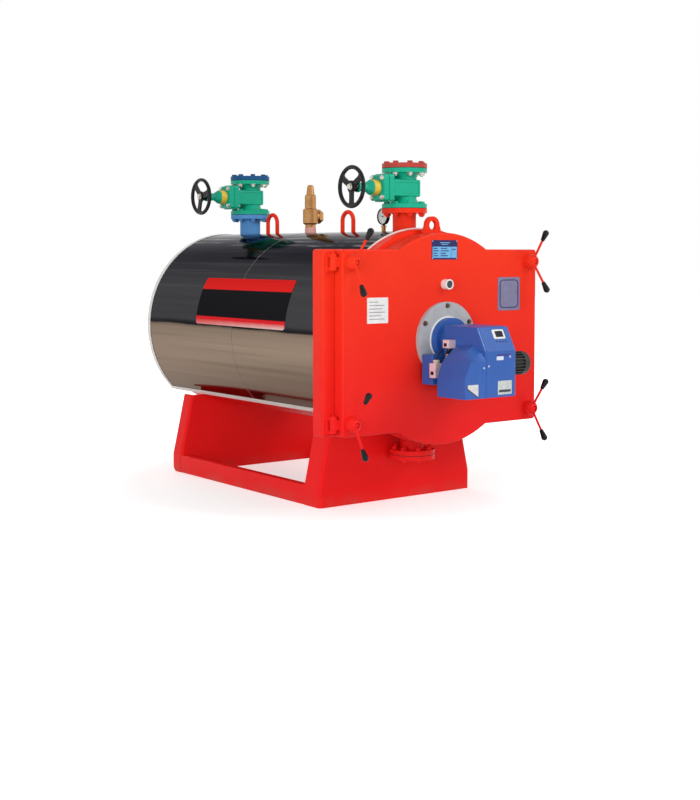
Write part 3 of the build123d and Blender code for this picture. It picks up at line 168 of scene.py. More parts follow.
BADGE_FRAME_INSET = 0.014
BADGE_FRAME_CORNER = 0.020
BADGE_FRAME_LIFT = 0.0022
BADGE_FRAME_R = 0.0026
BADGE_FIELD_INSET = 0.034
BADGE_FIELD_CORNER = 0.012
BADGE_FIELD_SHEET = (0.0012, 0.0008)

# Hinge bases and their welds
HINGE_HALF_H = 0.045
HINGE_PIN_PROUD = 0.007  # pin's head over the upper base
HINGE_WELD_OUT = 0.001
HINGE_WELD_LIFT = 0.0008
HINGE_WELD_CORNER = 0.004
HINGE_WELD_STEP = 0.004
HINGE_BEAD_R = 0.003

# Burner's plate, neck and sight tube
BURNER_BOLTS = 6
BURNER_BOLT_START = math.radians(30)
BURNER_BOLT_PCD_R = 0.158
BURNER_BOLT_R = 0.0062
BURNER_STUD = 0.003
NECK_RING_W = 0.007
NECK_RING_T = 0.004
NECK_RING_EDGE = 0.002
SIGHT_GLASS_PROFILE = ((0.0178, 0), (0.0178, 0.003), (0, 0.0035))
SIGHT_GLASS_INSET = 0.006

# Marks in the burner's front, given as the plates are
LABEL_DEPTH = 0.0008
LABEL_SOFT = 0.0006
FRONT_LABEL = (-0.008, 0.077, 0.576, 0.638)
FRONT_LABEL_BAR = (0.006, 0.079, 0.010, 0.022)
FRONT_STRIP = (-0.017, 0.071, 0.732, 0.759)
STRIP_TOP = (0.0, 0.088, 0.017, 0.027)
STRIP_FIELD = (0.0, 0.042, 0.0, 0.017)
STRIP_KEY = (0.078, 0.088, 0.008, 0.019)
HOOD_LABEL = (-0.190, -0.127, 0.574, 0.629)
HOOD_LABEL_RISE = 0.040  # rise of its lower edge to the left
# Width of the painted shadow along the hood label's left and lower edges
HOOD_LABEL_SHADOW_W = 0.006
SCREWS = ((-0.093, 0.7005), (-0.064, 0.7075))
SCREW_R = 0.0042
SCREW_SEAT_R = 0.0058

# Burner's sloped panel; what lies on it has left, right, low and high edges from its top
PANEL_D = 0.057
PANEL_H = 0.107
DISPLAY = (-0.007, 0.063, -0.062, -0.016)
DISPLAY_CORNER = 0.006
DISPLAY_T = 0.0035
DISPLAY_EDGE = 0.0014
SCREEN = (0.006, 0.052, -0.054, -0.024)
SCREEN_CORNER = 0.002
SCREEN_SHEET = (0.0006, 0.0003)
KEYS = 4
KEY_FIRST_X = 0.001
KEY_PITCH = 0.018
KEY_W = 0.010
KEY_LOW, KEY_HIGH = -0.078, -0.072
KEY_CORNER = 0.0025
KEY_SHEET = (0.0014, 0.0006)
# Pale bead along the panel's left edge, a painted highlight
PANEL_EDGE_STOPS = (0.004, 0.06, 0.116)  # down the slope
PANEL_EDGE_R = 0.0013
PANEL_EDGE_SINK = 0.0014

# Burner's coil and servo on its left side: sizes along x, y and z
SERVO = Vector((0.044, 0.040, 0.038))
COIL = Vector((0.050, 0.042, 0.066))
COIL_PLUG_H = 0.015
PLUG_PROFILE = ((0.0152, -0.013), (0.0152, -0.003), (0.0125, 0.0005), (0, 0.0008))
SOCKET_SHARES = (0.25, 0.75, 0.2)  # of the side's width, width and height
SOCKET_H = 0.016
SOCKET_CORNER = 0.003
SOCKET_SHEET = (0.0008, 0.0003)

# Damper's cam, black as a painted shade in the gap behind the servo, its link and the burner's leads
CAM_R = 0.026
CAM_L = 0.029
CAM_GAP = 0.006  # servo to cam
CAM_RIM_T = 0.008
CAM_STEP_L = 0.010
CAM_HUB_SHARE = 0.75
CAM_EDGE_R = 0.004
CAM_EDGE_L = 0.003
PIN_PROFILE = ((0.007, 0), (0.007, 0.006), (0.005, 0.008), (0, 0.008))
LINK_POINTS = (Vector((-0.004, 0, 0)), Vector((-0.004, 0.028, -0.034)), Vector((0, 0.056, -0.050)))
LEAD_R = 0.0025
LEAD_STEPS = 14
LEAD_INTO_SERVO = Vector((0.012, SERVO.y - 0.010, 0.002))
COIL_LEAD_BULGE = Vector((-0.008, -0.008, 0.010))
SERVO_LEAD_PITCH = 0.014  # from the coil's lead
SERVO_LEAD_END = Vector((0, 0.034, -0.004))  # from the cam's middle
SERVO_LEAD_BULGE = Vector((-0.006, 0.006, -0.012))

# Cladding: angles are degrees above the axis, from the left
BAND_Y = (0.237, 1.073)
BAND_ANGLES = (3.4, 32.0)
BAND_STEPS = 90
BAND_T = 0.0012
BAND_CORNER = 0.014
SEAM_Y = (CLAD_LOW.y + CLAD_HIGH.y) / 2
SEAM_HALF_W = 0.0006
SEAM_ANGLES = (-46.0, 226.0)
SEAM_STEPS = 180
SEAM_T = 0.0008
TRIM_T = 0.003
RIVET_R = 0.0032
END_RIVET_ANGLES = range(-40, 230, 10)
END_RIVET_INSET = 0.012
EDGE_RIVETS = 12
EDGE_RIVET_ANGLE = -44.8
EDGE_RIVET_INSET = 0.08

# Saddle welds and the smoke box's cover
SADDLE_PLATE_T = 0.010
SADDLE_BEAD_R = 0.0042
SADDLE_WELD_STEPS = 180
COVER_T = 0.012
COVER_BOLT_INSET = 0.028
COVER_BOLTS = 16

# Paint: heights of the painted shade's fade, a deeper tone low down, and of the dust over the floor
PAINTED_SHADE_Z = (0.40, 1.15)
DUST_Z = 0.06
DUST_SHARE = 0.30
DUST_TONE = (0.30, 0.14, 0.11)
SPECK_SHADE = 0.75
NOISE_LOW, NOISE_HIGH = 0.3, 0.7  # where most of a noise's values lie

# Polished sheet, its colour a painted reflection: tones by height over its diameter, then bright streaks by
# start, middle, end and tone
SHEET_REFLECTED_BLACK = (0.014, 0.014, 0.016)
SHEET_REFLECTION_TONES = [
    (0.13, (0.22, 0.167, 0.126)), (0.20, (0.215, 0.16, 0.118)), (0.36, (0.21, 0.156, 0.114)),
    (0.50, (0.20, 0.148, 0.109)), (0.518, (0.165, 0.122, 0.091)), (0.5235, (0.014, 0.013, 0.014)),
    (0.534, (0.022, 0.022, 0.024)), (0.550, (0.054, 0.054, 0.057)), (0.72, (0.060, 0.060, 0.063)),
    (0.82, (0.040, 0.040, 0.043)), (0.88, (0.018, 0.018, 0.020))]
SHEET_REFLECTED_STREAKS = (
    (0.927, 0.931, 0.934, (0.50, 0.48, 0.46)), (0.946, 0.950, 0.953, (0.60, 0.58, 0.56)),
    (0.964, 0.968, 0.972, (0.66, 0.65, 0.63)))
SHEET_REFLECTION_CROWN = (1.0, (0.05, 0.05, 0.05))
REFLECTED_STREAKS_FROM = (0.915, 0.925)
WAVE_SWAY = 0.030
RIPPLE_SWAY = 0.018

# Studio: a lamp's name, place, aim, size, watts, and whether metal mirrors it
LAMPS = (
    ("key", (3.0, -5.2, 4.6), (0.0, 0.2, 0.8), 3.0, 168.0, True),
    ("low", (-2.2, -6.0, 0.9), (0.0, 0.0, 0.4), 2.4, 75.0, False),
    ("side", (-6.2, -2.6, 2.2), (0.0, 0.6, 0.6), 3.5, 190.0, False),
    ("rear", (1.5, 6.5, 3.2), (0.0, 1.0, 0.8), 3.0, 110.0, False))
WORLD_LIGHT = 0.50
WORLD_SEEN = 1.0
FLOOR_R = 30.0
FLOOR_TONE = (0.74, 0.74, 0.74, 1.0)
FLOOR_MIDDLE = (0.0, 0.6, 0.0)
FLOOR_FADE_R = (1.0, 2.4)
FLOOR_GLOW = (0.48, 1.0)

# Camera fitted to the photograph, with lengths in its pixels
FRAME_W, FRAME_H = 700, 800
CAMERA_AT = Vector((-4.1226, -5.0813, 1.2127))
CAMERA_YAW = math.radians(36.93)
CAMERA_PITCH = math.radians(-3.53)
FOCAL_PX = 1329.95
CENTRE_PX = (348.0, 335.0)


def inside(plate, edges):
    """Edges of a piece that is placed from a plate's lower left corner."""
    left, right, low, high = edges
    return plate[0] + left, plate[0] + right, plate[2] + low, plate[2] + high


def inset_by(plate, inset):
    """A plate's edges, all set in."""
    x0, x1, z0, z1 = plate
    return x0 + inset, x1 - inset, z0 + inset, z1 - inset


# Materials
class Surface:
    """A material in the making: one principled shader with procedural colour, roughness and relief."""

    def __init__(self, name, roughness, metallic=0.0, specular=0.5):
        self.material = bpy.data.materials.new(name)
        self.material.use_nodes = True
        self.tree = self.material.node_tree
        self.shader = self.tree.nodes["Principled BSDF"]
        self.shader.inputs["Roughness"].default_value = roughness
        self.shader.inputs["Metallic"].default_value = metallic
        self.shader.inputs["Specular IOR Level"].default_value = specular
        self.place = self.node("ShaderNodeTexCoord").outputs["Object"]

    def node(self, kind, **settings):
        made = self.tree.nodes.new(kind)
        for key, value in settings.items():
            setattr(made, key, value)
        return made

    def link(self, source, target):
        if hasattr(source, "is_output"):
            self.tree.links.new(source, target)
        else:
            target.default_value = source

    def math(self, operation, a, b=0.0):
        made = self.node("ShaderNodeMath", operation=operation)
        self.link(a, made.inputs[0])
        self.link(b, made.inputs[1])
        return made.outputs[0]

    def weighted(self, a, share_a, b, share_b):
        """Sum of two values, each times its share."""
        return self.math("ADD", self.math("MULTIPLY", a, share_a), self.math("MULTIPLY", b, share_b))

    def axes(self):
        """The three coordinates of the surface point, in the frame."""
        parts = self.node("ShaderNodeSeparateXYZ")
        self.link(self.place, parts.inputs[0])
        return parts.outputs[0], parts.outputs[1], parts.outputs[2]

    def noise(self, scale, detail, at=None):
        made = self.node("ShaderNodeTexNoise")
        self.link(self.place if at is None else at, made.inputs["Vector"])
        made.inputs["Scale"].default_value = scale
        made.inputs["Detail"].default_value = detail
        return made.outputs["Fac"]

    def stretched_noise(self, scales, detail):
        """Noise with its own scale along each coordinate."""
        made = self.node("ShaderNodeMapping")
        self.link(self.place, made.inputs["Vector"])
        made.inputs["Scale"].default_value = scales
        return self.noise(1.0, detail, made.outputs[0])

    def ramp(self, value, stops):
        """Colours by value; stops are (place, colour)."""
        made = self.node("ShaderNodeValToRGB")
        ramp = made.color_ramp
        while len(ramp.elements) < len(stops):
            ramp.elements.new(0.5)
        for element, (place, colour) in zip(ramp.elements, stops):
            element.position = place
            element.color = (*colour, 1.0)
        self.link(value, made.inputs[0])
        return made.outputs[0]

    def span(self, value, low, high, to_low=0.0, to_high=1.0):
        """Maps a value's span to another one and stays inside it."""
        made = self.node("ShaderNodeMapRange")
        self.link(value, made.inputs["Value"])
        limits = {"From Min": low, "From Max": high, "To Min": to_low, "To Max": to_high}
        for name, number in limits.items():
            made.inputs[name].default_value = number
        return made.outputs[0]

    def within(self, limits):
        """1 where every value is inside its low and high limit, with soft edges."""
        mask = 1.0
        for value, low, high in limits:
            if low is not None:
                mask = self.math("MULTIPLY", self.span(value, low - LABEL_SOFT, low + LABEL_SOFT), mask)
            if high is not None:
                mask = self.math("MULTIPLY", self.span(value, high + LABEL_SOFT, high - LABEL_SOFT), mask)
        return mask

    def mix(self, factor, a, b):
        made = self.node("ShaderNodeMix", data_type="RGBA")
        self.link(factor, made.inputs[0])
        for socket, tone in ((6, a), (7, b)):
            self.link(tone if hasattr(tone, "is_output") else (*tone, 1.0), made.inputs[socket])
        return made.outputs[2]

    def colour(self, socket):
        self.link(socket, self.shader.inputs["Base Color"])

    def roughness(self, value, low, high):
        self.link(self.span(value, NOISE_LOW, NOISE_HIGH, low, high), self.shader.inputs["Roughness"])

    def relief(self, height, strength, depth):
        made = self.node("ShaderNodeBump")
        made.inputs["Strength"].default_value = strength
        made.inputs["Distance"].default_value = depth
        self.link(height, made.inputs["Height"])
        self.link(made.outputs[0], self.shader.inputs["Normal"])
        return self


def mottled(surface, base, shade, scale):
    """Two close tones of a colour in soft clouds."""
    clouds = surface.noise(scale, 4.0)
    return surface.ramp(clouds, [(NOISE_LOW, shade), (NOISE_HIGH, base)])


def paint(name, base, shade, low=None, roughness=0.34, specular=0.09, peel=220.0, relief=0.10, dusty=True):
    """Sprayed paint: close tones, orange peel, a deeper tone low down as painted shade and a little dust at
    the floor.
    """
    surface = Surface(name, roughness, specular=specular)
    colour = mottled(surface, base, shade, 2.5)
    _, _, height = surface.axes()
    if low:
        # Painted shade: the tone deepens towards the low colour further down
        colour = surface.mix(surface.span(height, *PAINTED_SHADE_Z, 1.0, 0.0), colour, low)
    specks = surface.span(surface.noise(60.0, 6.0), 0.58, 0.72, 0.0, 0.10)
    colour = surface.mix(specks, colour, [SPECK_SHADE * c for c in shade])
    if dusty:
        near_floor = surface.span(height, 0.0, DUST_Z, DUST_SHARE, 0.0)
        dust = surface.math("MULTIPLY", near_floor, surface.span(surface.noise(9.0, 5.0), 0.35, 0.65))
        colour = surface.mix(dust, colour, DUST_TONE)
    surface.colour(colour)
    surface.roughness(surface.noise(14.0, 4.0), roughness - 0.05, roughness + 0.10)
    return surface.relief(surface.noise(peel, 2.0), relief, 0.0006)


def polished_sheet():
    """Mirror-polished sheet whose colour is a painted reflection: near black over its horizon, warm grey
    under it, streaks along the boiler.
    """
    surface = Surface("polished_sheet", 0.10, metallic=1.0)
    surface.shader.inputs["Specular Tint"].default_value = (0.50, 0.50, 0.52, 1.0)
    _, _, z = surface.axes()
    height = surface.math("SUBTRACT", z, AXIS_Z)
    wave = surface.stretched_noise((2.0, 0.9, 5.0), 3.0)
    ripple = surface.stretched_noise((7.0, 3.5, 9.0), 4.0)
    sway = surface.weighted(wave, WAVE_SWAY, ripple, RIPPLE_SWAY)
    swayed = surface.math("ADD", height, surface.math("SUBTRACT", sway, (WAVE_SWAY + RIPPLE_SWAY) / 2))
    # Painted reflection: the tones follow the height, under a wavering horizon
    level = surface.span(swayed, -CLAD_R, CLAD_R)
    stops = list(SHEET_REFLECTION_TONES)
    for start, brightest, end, tone in SHEET_REFLECTED_STREAKS:
        stops += [(start, SHEET_REFLECTED_BLACK), (brightest, tone), (end, SHEET_REFLECTED_BLACK)]
    tones = surface.ramp(level, stops + [SHEET_REFLECTION_CROWN])
    # Painted reflection: patches break the bright streaks near the top into black
    patches = surface.span(surface.stretched_noise((5.0, 4.0, 5.0), 4.0), 0.46, 0.60, 1.0, 0.0)
    broken = surface.math("MULTIPLY", patches, surface.span(level, *REFLECTED_STREAKS_FROM))
    tones = surface.mix(broken, tones, SHEET_REFLECTED_BLACK)
    # Painted reflection: lighter and darker streaks along the boiler
    coarse = surface.stretched_noise((26.0, 0.5, 40.0), 5.0)
    fine = surface.stretched_noise((90.0, 0.8, 140.0), 2.0)
    lines = surface.weighted(coarse, 0.7, fine, 0.3)
    tones = surface.mix(surface.span(lines, 0.54, 0.68, 0.0, 0.06), tones, (0.45, 0.42, 0.40))
    tones = surface.mix(surface.span(lines, 0.47, 0.34, 0.0, 0.20), tones, (0.020, 0.018, 0.018))
    surface.colour(tones)
    surface.roughness(coarse, 0.06, 0.14)
    return surface.relief(wave, 0.20, 0.004)


def metal(name, base, shade, roughness):
    """Bare metal with faint stains and a fine grain."""
    surface = Surface(name, roughness, metallic=1.0)
    surface.colour(mottled(surface, base, shade, 18.0))
    surface.roughness(surface.noise(40.0, 4.0), roughness - 0.07, roughness + 0.12)
    return surface.relief(surface.noise(140.0, 3.0), 0.08, 0.0005)


def moulded(name, base, shade, roughness, grain=400.0, relief=0.12, specular=0.3, scale=30.0):
    """Moulded or cast stuff with a fine grain."""
    surface = Surface(name, roughness, specular=specular)
    surface.colour(mottled(surface, base, shade, scale))
    surface.roughness(surface.noise(25.0, 4.0), roughness - 0.06, roughness + 0.10)
    return surface.relief(surface.noise(grain, 2.0), relief, 0.0004)


def cast_paint(name, base, shade):
    """Thick gloss paint over a sand casting."""
    return paint(name, base, shade, roughness=0.28, specular=0.20, peel=85.0, relief=0.30, dusty=False)


def burner_paint():
    """Blue enamel of the burner, with bare labels, a painted shadow along the hood label's left and lower
    edges, a grip strip and screw heads in its front faces.
    """
    surface = Surface("burner_blue", 0.36, specular=0.28)
    x, y, z = surface.axes()
    front = (y, None, HOUSING_LOW.y + LABEL_DEPTH)

    def mark(edges, tone, below):
        x0, x1, z0, z1 = edges
        return surface.mix(surface.within([front, (x, x0, x1), (z, z0, z1)]), below, tone)

    colour = mottled(surface, (0.028, 0.105, 0.390), (0.024, 0.092, 0.350), 6.0)
    specks = surface.span(surface.noise(50.0, 5.0), 0.58, 0.74, 0.0, 0.12)
    colour = surface.mix(specks, colour, (0.10, 0.20, 0.55))
    silver = mottled(surface, (0.60, 0.62, 0.58), (0.42, 0.46, 0.46), 90.0)
    colour = mark(FRONT_LABEL, silver, colour)
    colour = mark(inside(FRONT_LABEL, FRONT_LABEL_BAR), (0.035, 0.045, 0.06), colour)
    colour = mark(inside(FRONT_STRIP, STRIP_TOP), (0.035, 0.040, 0.22), colour)
    colour = mark(inside(FRONT_STRIP, STRIP_FIELD), (0.62, 0.68, 0.80), colour)
    colour = mark(inside(FRONT_STRIP, STRIP_KEY), (0.40, 0.46, 0.74), colour)

    x0, x1, z0, z1 = HOOD_LABEL
    rise = surface.span(x, x0, x1, HOOD_LABEL_RISE, 0.0)
    over_edge = surface.math("SUBTRACT", surface.math("SUBTRACT", z, z0), rise)
    field = surface.within([front, (x, x0, x1), (z, None, z1), (over_edge, 0.0, None)])
    # Painted shadow: a dark band along the label's left and lower edges
    label_shadow = surface.within([front, (x, x0 - HOOD_LABEL_SHADOW_W, x1), (z, None, z1),
                          (over_edge, -HOOD_LABEL_SHADOW_W, None)])
    colour = surface.mix(label_shadow, colour, (0.020, 0.024, 0.05))
    colour = surface.mix(field, colour, mottled(surface, (0.68, 0.66, 0.66), (0.56, 0.54, 0.56), 60.0))

    for at_x, at_z in SCREWS:
        dx = surface.math("SUBTRACT", x, at_x)
        dz = surface.math("SUBTRACT", z, at_z)
        squares = surface.math("ADD", surface.math("MULTIPLY", dx, dx), surface.math("MULTIPLY", dz, dz))
        far = surface.math("SQRT", squares)
        colour = surface.mix(surface.within([front, (far, None, SCREW_SEAT_R)]), colour, (0.03, 0.06, 0.20))
        colour = surface.mix(surface.within([front, (far, None, SCREW_R)]), colour, (0.60, 0.66, 0.78))
    surface.colour(colour)
    surface.roughness(surface.noise(18.0, 4.0), 0.30, 0.44)
    return surface.relief(surface.noise(260.0, 2.0), 0.10, 0.0005)


def band_print():
    """Plain printed band: red over black over red that fades to white."""
    surface = Surface("cladding_band", 0.4, specular=0.0)
    _, y, z = surface.axes()
    height = surface.math("SUBTRACT", z, AXIS_Z)
    low, high = (CLAD_R * math.sin(math.radians(a)) for a in BAND_ANGLES)
    level = surface.span(height, low, high)
    tones = surface.ramp(level, [
        (0.0, (0.72, 0.03, 0.035)), (0.17, (0.72, 0.02, 0.025)), (0.18, (0.012, 0.012, 0.014)),
        (0.755, (0.014, 0.014, 0.016)), (0.765, (0.76, 0.022, 0.020)), (1.0, (0.70, 0.018, 0.016))])
    faded = surface.span(y, *BAND_Y, 1.0, 0.35)
    uneven = surface.weighted(level, 1.0, surface.noise(16.0, 4.0), 0.03)
    bare = surface.span(uneven, 0.13, 0.02)
    tones = surface.mix(surface.math("MULTIPLY", bare, faded), tones, (0.78, 0.55, 0.52))
    surface.colour(tones)
    surface.roughness(surface.noise(8.0, 3.0), 0.36, 0.44)
    return surface.relief(surface.noise(400.0, 2.0), 0.03, 0.0003)


# The red deepens to its low tone further down: a painted shade
RED = paint("red_paint", (0.84, 0.038, 0.013), (0.80, 0.030, 0.011), low=(0.80, 0.014, 0.014))
RED_BASE = paint("red_paint_base", (0.88, 0.013, 0.014), (0.84, 0.011, 0.012))
BLUE_PIPE = paint("blue_paint", (0.105, 0.30, 0.63), (0.085, 0.255, 0.57))
BLUE_DULL = paint("blue_paint_dull", (0.020, 0.105, 0.27), (0.016, 0.085, 0.22), dusty=False)
RED_DULL = paint("red_paint_dull", (0.52, 0.075, 0.055), (0.40, 0.050, 0.040), dusty=False)
GREEN = cast_paint("green_paint", (0.008, 0.44, 0.27), (0.006, 0.35, 0.21))
PINK = paint("primer_pink", (0.78, 0.42, 0.37), (0.70, 0.33, 0.29), dusty=False)
BURNER_BLUE = burner_paint()
BRASS = metal("brass", (0.52, 0.28, 0.115), (0.40, 0.20, 0.075), 0.44)
BRONZE = metal("bronze", (0.20, 0.13, 0.10), (0.12, 0.08, 0.065), 0.45)
GREY_PLATE = moulded("grey_plate", (0.42, 0.425, 0.435), (0.36, 0.365, 0.38), 0.42, grain=140.0)
ZINC = metal("zinc", (0.72, 0.70, 0.64), (0.50, 0.48, 0.42), 0.32)
STEEL = moulded("boiler_steel", (0.15, 0.13, 0.12), (0.08, 0.07, 0.065), 0.62, grain=90.0, relief=0.4)
WOOL = moulded("mineral_wool", (0.55, 0.47, 0.25), (0.40, 0.33, 0.16), 0.9, grain=160.0, relief=0.9)
GASKET = moulded("gasket", (0.030, 0.030, 0.032), (0.018, 0.018, 0.02), 0.7)
LINING = moulded("refractory", (0.62, 0.55, 0.45), (0.48, 0.41, 0.32), 0.9, grain=110.0, relief=0.6,
                 scale=9.0)
BLACK = moulded("gloss_black", (0.010, 0.010, 0.011), (0.006, 0.006, 0.007), 0.20, grain=60.0, relief=0.06,
                specular=0.18)
MOTOR_BLACK = moulded("motor_black", (0.024, 0.023, 0.022), (0.010, 0.010, 0.011), 0.45)
FITTING = moulded("fitting_white", (0.74, 0.55, 0.55), (0.62, 0.44, 0.50), 0.42)
PLUG = moulded("plug_sand", (0.52, 0.50, 0.34), (0.40, 0.38, 0.24), 0.45)
PALE = moulded("pale_enamel", (0.80, 0.79, 0.77), (0.70, 0.69, 0.68), 0.36)
TRIM = moulded("trim", (0.80, 0.79, 0.76), (0.72, 0.71, 0.68), 0.38)
SEAM = moulded("seam_grey", (0.34, 0.32, 0.29), (0.28, 0.26, 0.24), 0.40)
YELLOW = moulded("tag_yellow", (0.80, 0.58, 0.06), (0.74, 0.42, 0.03), 0.35, scale=14.0)
LINES = moulded("print_grey", (0.30, 0.30, 0.34), (0.22, 0.22, 0.26), 0.45)
NAVY = moulded("plate_navy", (0.012, 0.014, 0.105), (0.009, 0.010, 0.08), 0.30)
SKY = moulded("plate_sky", (0.16, 0.43, 0.72), (0.13, 0.38, 0.66), 0.30)
# Pale blue of the painted highlight on the burner panel's edge
PANEL_EDGE_HIGHLIGHT = moulded("painted_edge_highlight", (0.34, 0.48, 0.78), (0.26, 0.40, 0.70), 0.35)
LILAC = moulded("badge_metal", (0.205, 0.195, 0.31), (0.165, 0.155, 0.26), 0.40)
GLASS = moulded("sight_glass", (0.035, 0.045, 0.055), (0.02, 0.025, 0.03), 0.12, relief=0.02, specular=0.5)
BAND = band_print()
SHEET = polished_sheet()

FINISH = {
    "red_paint": RED, "boiler_steel": STEEL, "mineral_wool": WOOL, "polished_sheet": SHEET, "trim": TRIM,
    "green_paint": GREEN, "blue_paint": BLUE_PIPE, "gasket": GASKET, "brass": BRASS, "gauge_black": BLACK,
    "refractory": LINING, "grey_plate": GREY_PLATE, "burner_blue": BURNER_BLUE, "motor_black": MOTOR_BLACK,
    "fitting_white": FITTING, "grip_black": BLACK, "wheel_black": BLACK}
OWN_FINISH = {
    "pedestal_front": RED_BASE, "pedestal_rear": RED_BASE, "pedestal_rail_left": RED_BASE,
    "pedestal_rail_right": RED_BASE, "safety_nipple": PINK, "sight_tube": PALE,
    "supply_counter_flange": RED_DULL, "return_counter_flange": BLUE_DULL}


def finish_nodes():
    """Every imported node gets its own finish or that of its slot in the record."""
    for part in frame["record"]["subparts"]:
        surface = OWN_FINISH.get(part["node"], FINISH[part["material_slot"]])
        slots = nodes[part["node"]].data.materials
        slots.clear()
        slots.append(surface.material)


# Mesh kit
class Piece:
    """Collects the faces of one piece in the frame's metres."""

    def __init__(self):
        self.bm = bmesh.new()

    def turned(self, origin, axis, profile, segments, turn=0.0):
        """Surface of revolution from (radius, height) pairs; six segments make a hexagon."""
        turn_to = Vector(axis).to_track_quat("Z", "Y").to_matrix()
        rings = []
        for r, h in profile:
            places = ring_places(segments, r, turn)[:segments if r > TINY else 1]
            spots = [Vector(origin) + turn_to @ Vector((a, b, h)) for a, b in places]
            rings.append([self.bm.verts.new(spot) for spot in spots])
        for low, high in zip(rings, rings[1:]):
            for i in range(segments):
                k = i + 1
                corners = [low[i % len(low)], low[k % len(low)], high[k % len(high)], high[i % len(high)]]
                corners = list(dict.fromkeys(corners))
                if len(corners) > 2:
                    self.bm.faces.new(corners)

    def skin(self, rings, closed=False):
        """Faces from each ring of points to the next one, which has as many."""
        pairs = list(zip(rings, rings[1:]))
        if closed:
            pairs.append((rings[-1], rings[0]))
        for low, high in pairs:
            for k in range(len(low)):
                after = (k + 1) % len(low)
                self.bm.faces.new((low[k], low[after], high[after], high[k]))

    def bolt(self, origin, axis, r, turn=0.0, stud=0.0):
        """Washer and hexagon on a face; a nut shows the stud's end over it."""
        washer = WASHER_T * r
        bevel = HEAD_BEVEL * r
        top = washer + HEAD_H * r
        disc = [(WASHER_R * r, 0), (WASHER_R * r, washer - bevel / 2), (WASHER_EDGE_R * r, washer),
                (WASHER_HOLE_R * r, washer)]
        self.turned(origin, axis, disc, 20)
        across = HEAD_R * r
        head = [(across, washer), (across, top - bevel), (across - bevel, top), (0, top)]
        self.turned(origin, axis, head, HEXAGON, turn)
        if stud:
            end = top + stud
            thread = [(r, top - bevel), (r, end - bevel), (r - bevel, end), (0, end)]
            self.turned(origin, axis, thread, 14)

    def rivet(self, origin, axis, r):
        """Low round head."""
        self.turned(origin, axis, [(a * r, b * r) for a, b in RIVET_PROFILE], 12)

    def plate(self, origin, across, up, outline, thick, edge):
        """Flat plate with softened edges: outline as (across, up) pairs about the origin."""
        out = Vector(across).cross(Vector(up))
        rings = []
        middle_at = [sum(p[k] for p in outline) / len(outline) for k in (0, 1)]
        for inset, height in ((0.0, 0.0), (0.0, thick - edge), (edge, thick)):
            ring = []
            for a, b in outline:
                da = a - middle_at[0]
                db = b - middle_at[1]
                k = 1.0 - inset / max(math.hypot(da, db), TINY)
                spot = Vector(across) * (middle_at[0] + da * k) + Vector(up) * (middle_at[1] + db * k)
                ring.append(self.bm.verts.new(Vector(origin) + spot + out * height))
            rings.append(ring)
        self.skin(rings)
        self.bm.faces.new(rings[-1])

    def bead(self, points, r, closed=False, ripple=WELD_RIPPLE):
        """Weld bead along points, or a plain rod where the ripple is 0."""
        path = [Vector(p) for p in points]
        count = len(path)
        rings = []
        for i, p in enumerate(path):
            after = path[(i + 1) % count] if closed or i + 1 < count else p
            before = path[i - 1] if closed or i else p
            along = (after - before).normalized()
            side = along.orthogonal().normalized() if abs(along.z) > STEEP else along.cross(UP).normalized()
            lift = side.cross(along)
            size = r * (1.0 - ripple * (i % RIPPLE_PITCH == 0))
            places = ring_places(BEAD_SIDES, size)
            rings.append([self.bm.verts.new(p + side * a + lift * b) for a, b in places])
        self.skin(rings, closed)
        if not closed:
            self.bm.faces.new(rings[0])
            self.bm.faces.new(rings[-1])

    def round_sheet(self, r, y_span, angles, steps, thick, corner=0.0):
        """Curved strip round the shell's axis, degrees up from the left, with round corners."""
        rings = []
        arc = r * math.radians(angles[1] - angles[0])
        for i in range(steps + 1):
            a = math.radians(angles[0] + (angles[1] - angles[0]) * i / steps)
            short = max(0.0, corner - arc * min(i, steps - i) / steps)
            inset = corner - math.sqrt(corner ** 2 - short ** 2)
            y0 = y_span[0] + inset
            y1 = y_span[1] - inset
            ring = []
            for radius, y in bar(r, r + thick, y0, y1):
                ring.append(self.bm.verts.new((-radius * math.cos(a), y, AXIS_Z + radius * math.sin(a))))
            rings.append(ring)
        self.skin(rings)
        self.bm.faces.new(rings[0])
        self.bm.faces.new(rings[-1])

    def done(self, name, body, surface, slot=None):
        """Makes the object and lets it ride on its body."""
        bmesh.ops.recalc_face_normals(self.bm, faces=self.bm.faces)
        mesh = bpy.data.meshes.new(name)
        self.bm.to_mesh(mesh)
        self.bm.free()
        mesh.shade_smooth()
        mesh.set_sharp_from_angle(angle=SHARP_ANGLE)
        mesh.materials.append(surface.material)
        made = bpy.data.objects.new(name, mesh)
        bpy.context.scene.collection.objects.link(made)
        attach(made, body)


def rounded(x0, x1, z0, z1, r, steps=5):
    """Outline of a rectangle with round corners."""
    outline = []
    corners = ((x1 - r, z0 + r, -90), (x1 - r, z1 - r, 0), (x0 + r, z1 - r, 90), (x0 + r, z0 + r, 180))
    for cx, cz, start in corners:
        for i in range(steps + 1):
            a = math.radians(start + 90 * i / steps)
            outline.append((cx + r * math.cos(a), cz + r * math.sin(a)))
    return outline


def bar(x0, x1, z0, z1):
    """Outline of a plain rectangle."""
    return [(x0, z0), (x1, z0), (x1, z1), (x0, z1)]


def ring_places(count, r, start=0.0):
    """Places round a circle, as (a, b) pairs."""
    turns = [start + 2 * math.pi * i / count for i in range(count)]
    return [(r * math.cos(a), r * math.sin(a)) for a in turns]


def flange_places():
    """Places of a pipe flange's bolts, which straddle its middle lines."""
    return ring_places(FLANGE_BOLTS, BOLT_PCD_R, math.pi / FLANGE_BOLTS)


def pipe_weld(piece, y, z):
    """Bead round a pipe on the boiler's middle line."""
    circle = ring_places(PIPE_WELD_STEPS, PIPE_WELD_R)
    piece.bead([(dx, y + dy, z) for dx, dy in circle], PIPE_BEAD_R, closed=True)


def middle(node):
    """Middle of a node's box."""
    low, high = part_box(node)
    return (low + high) / 2


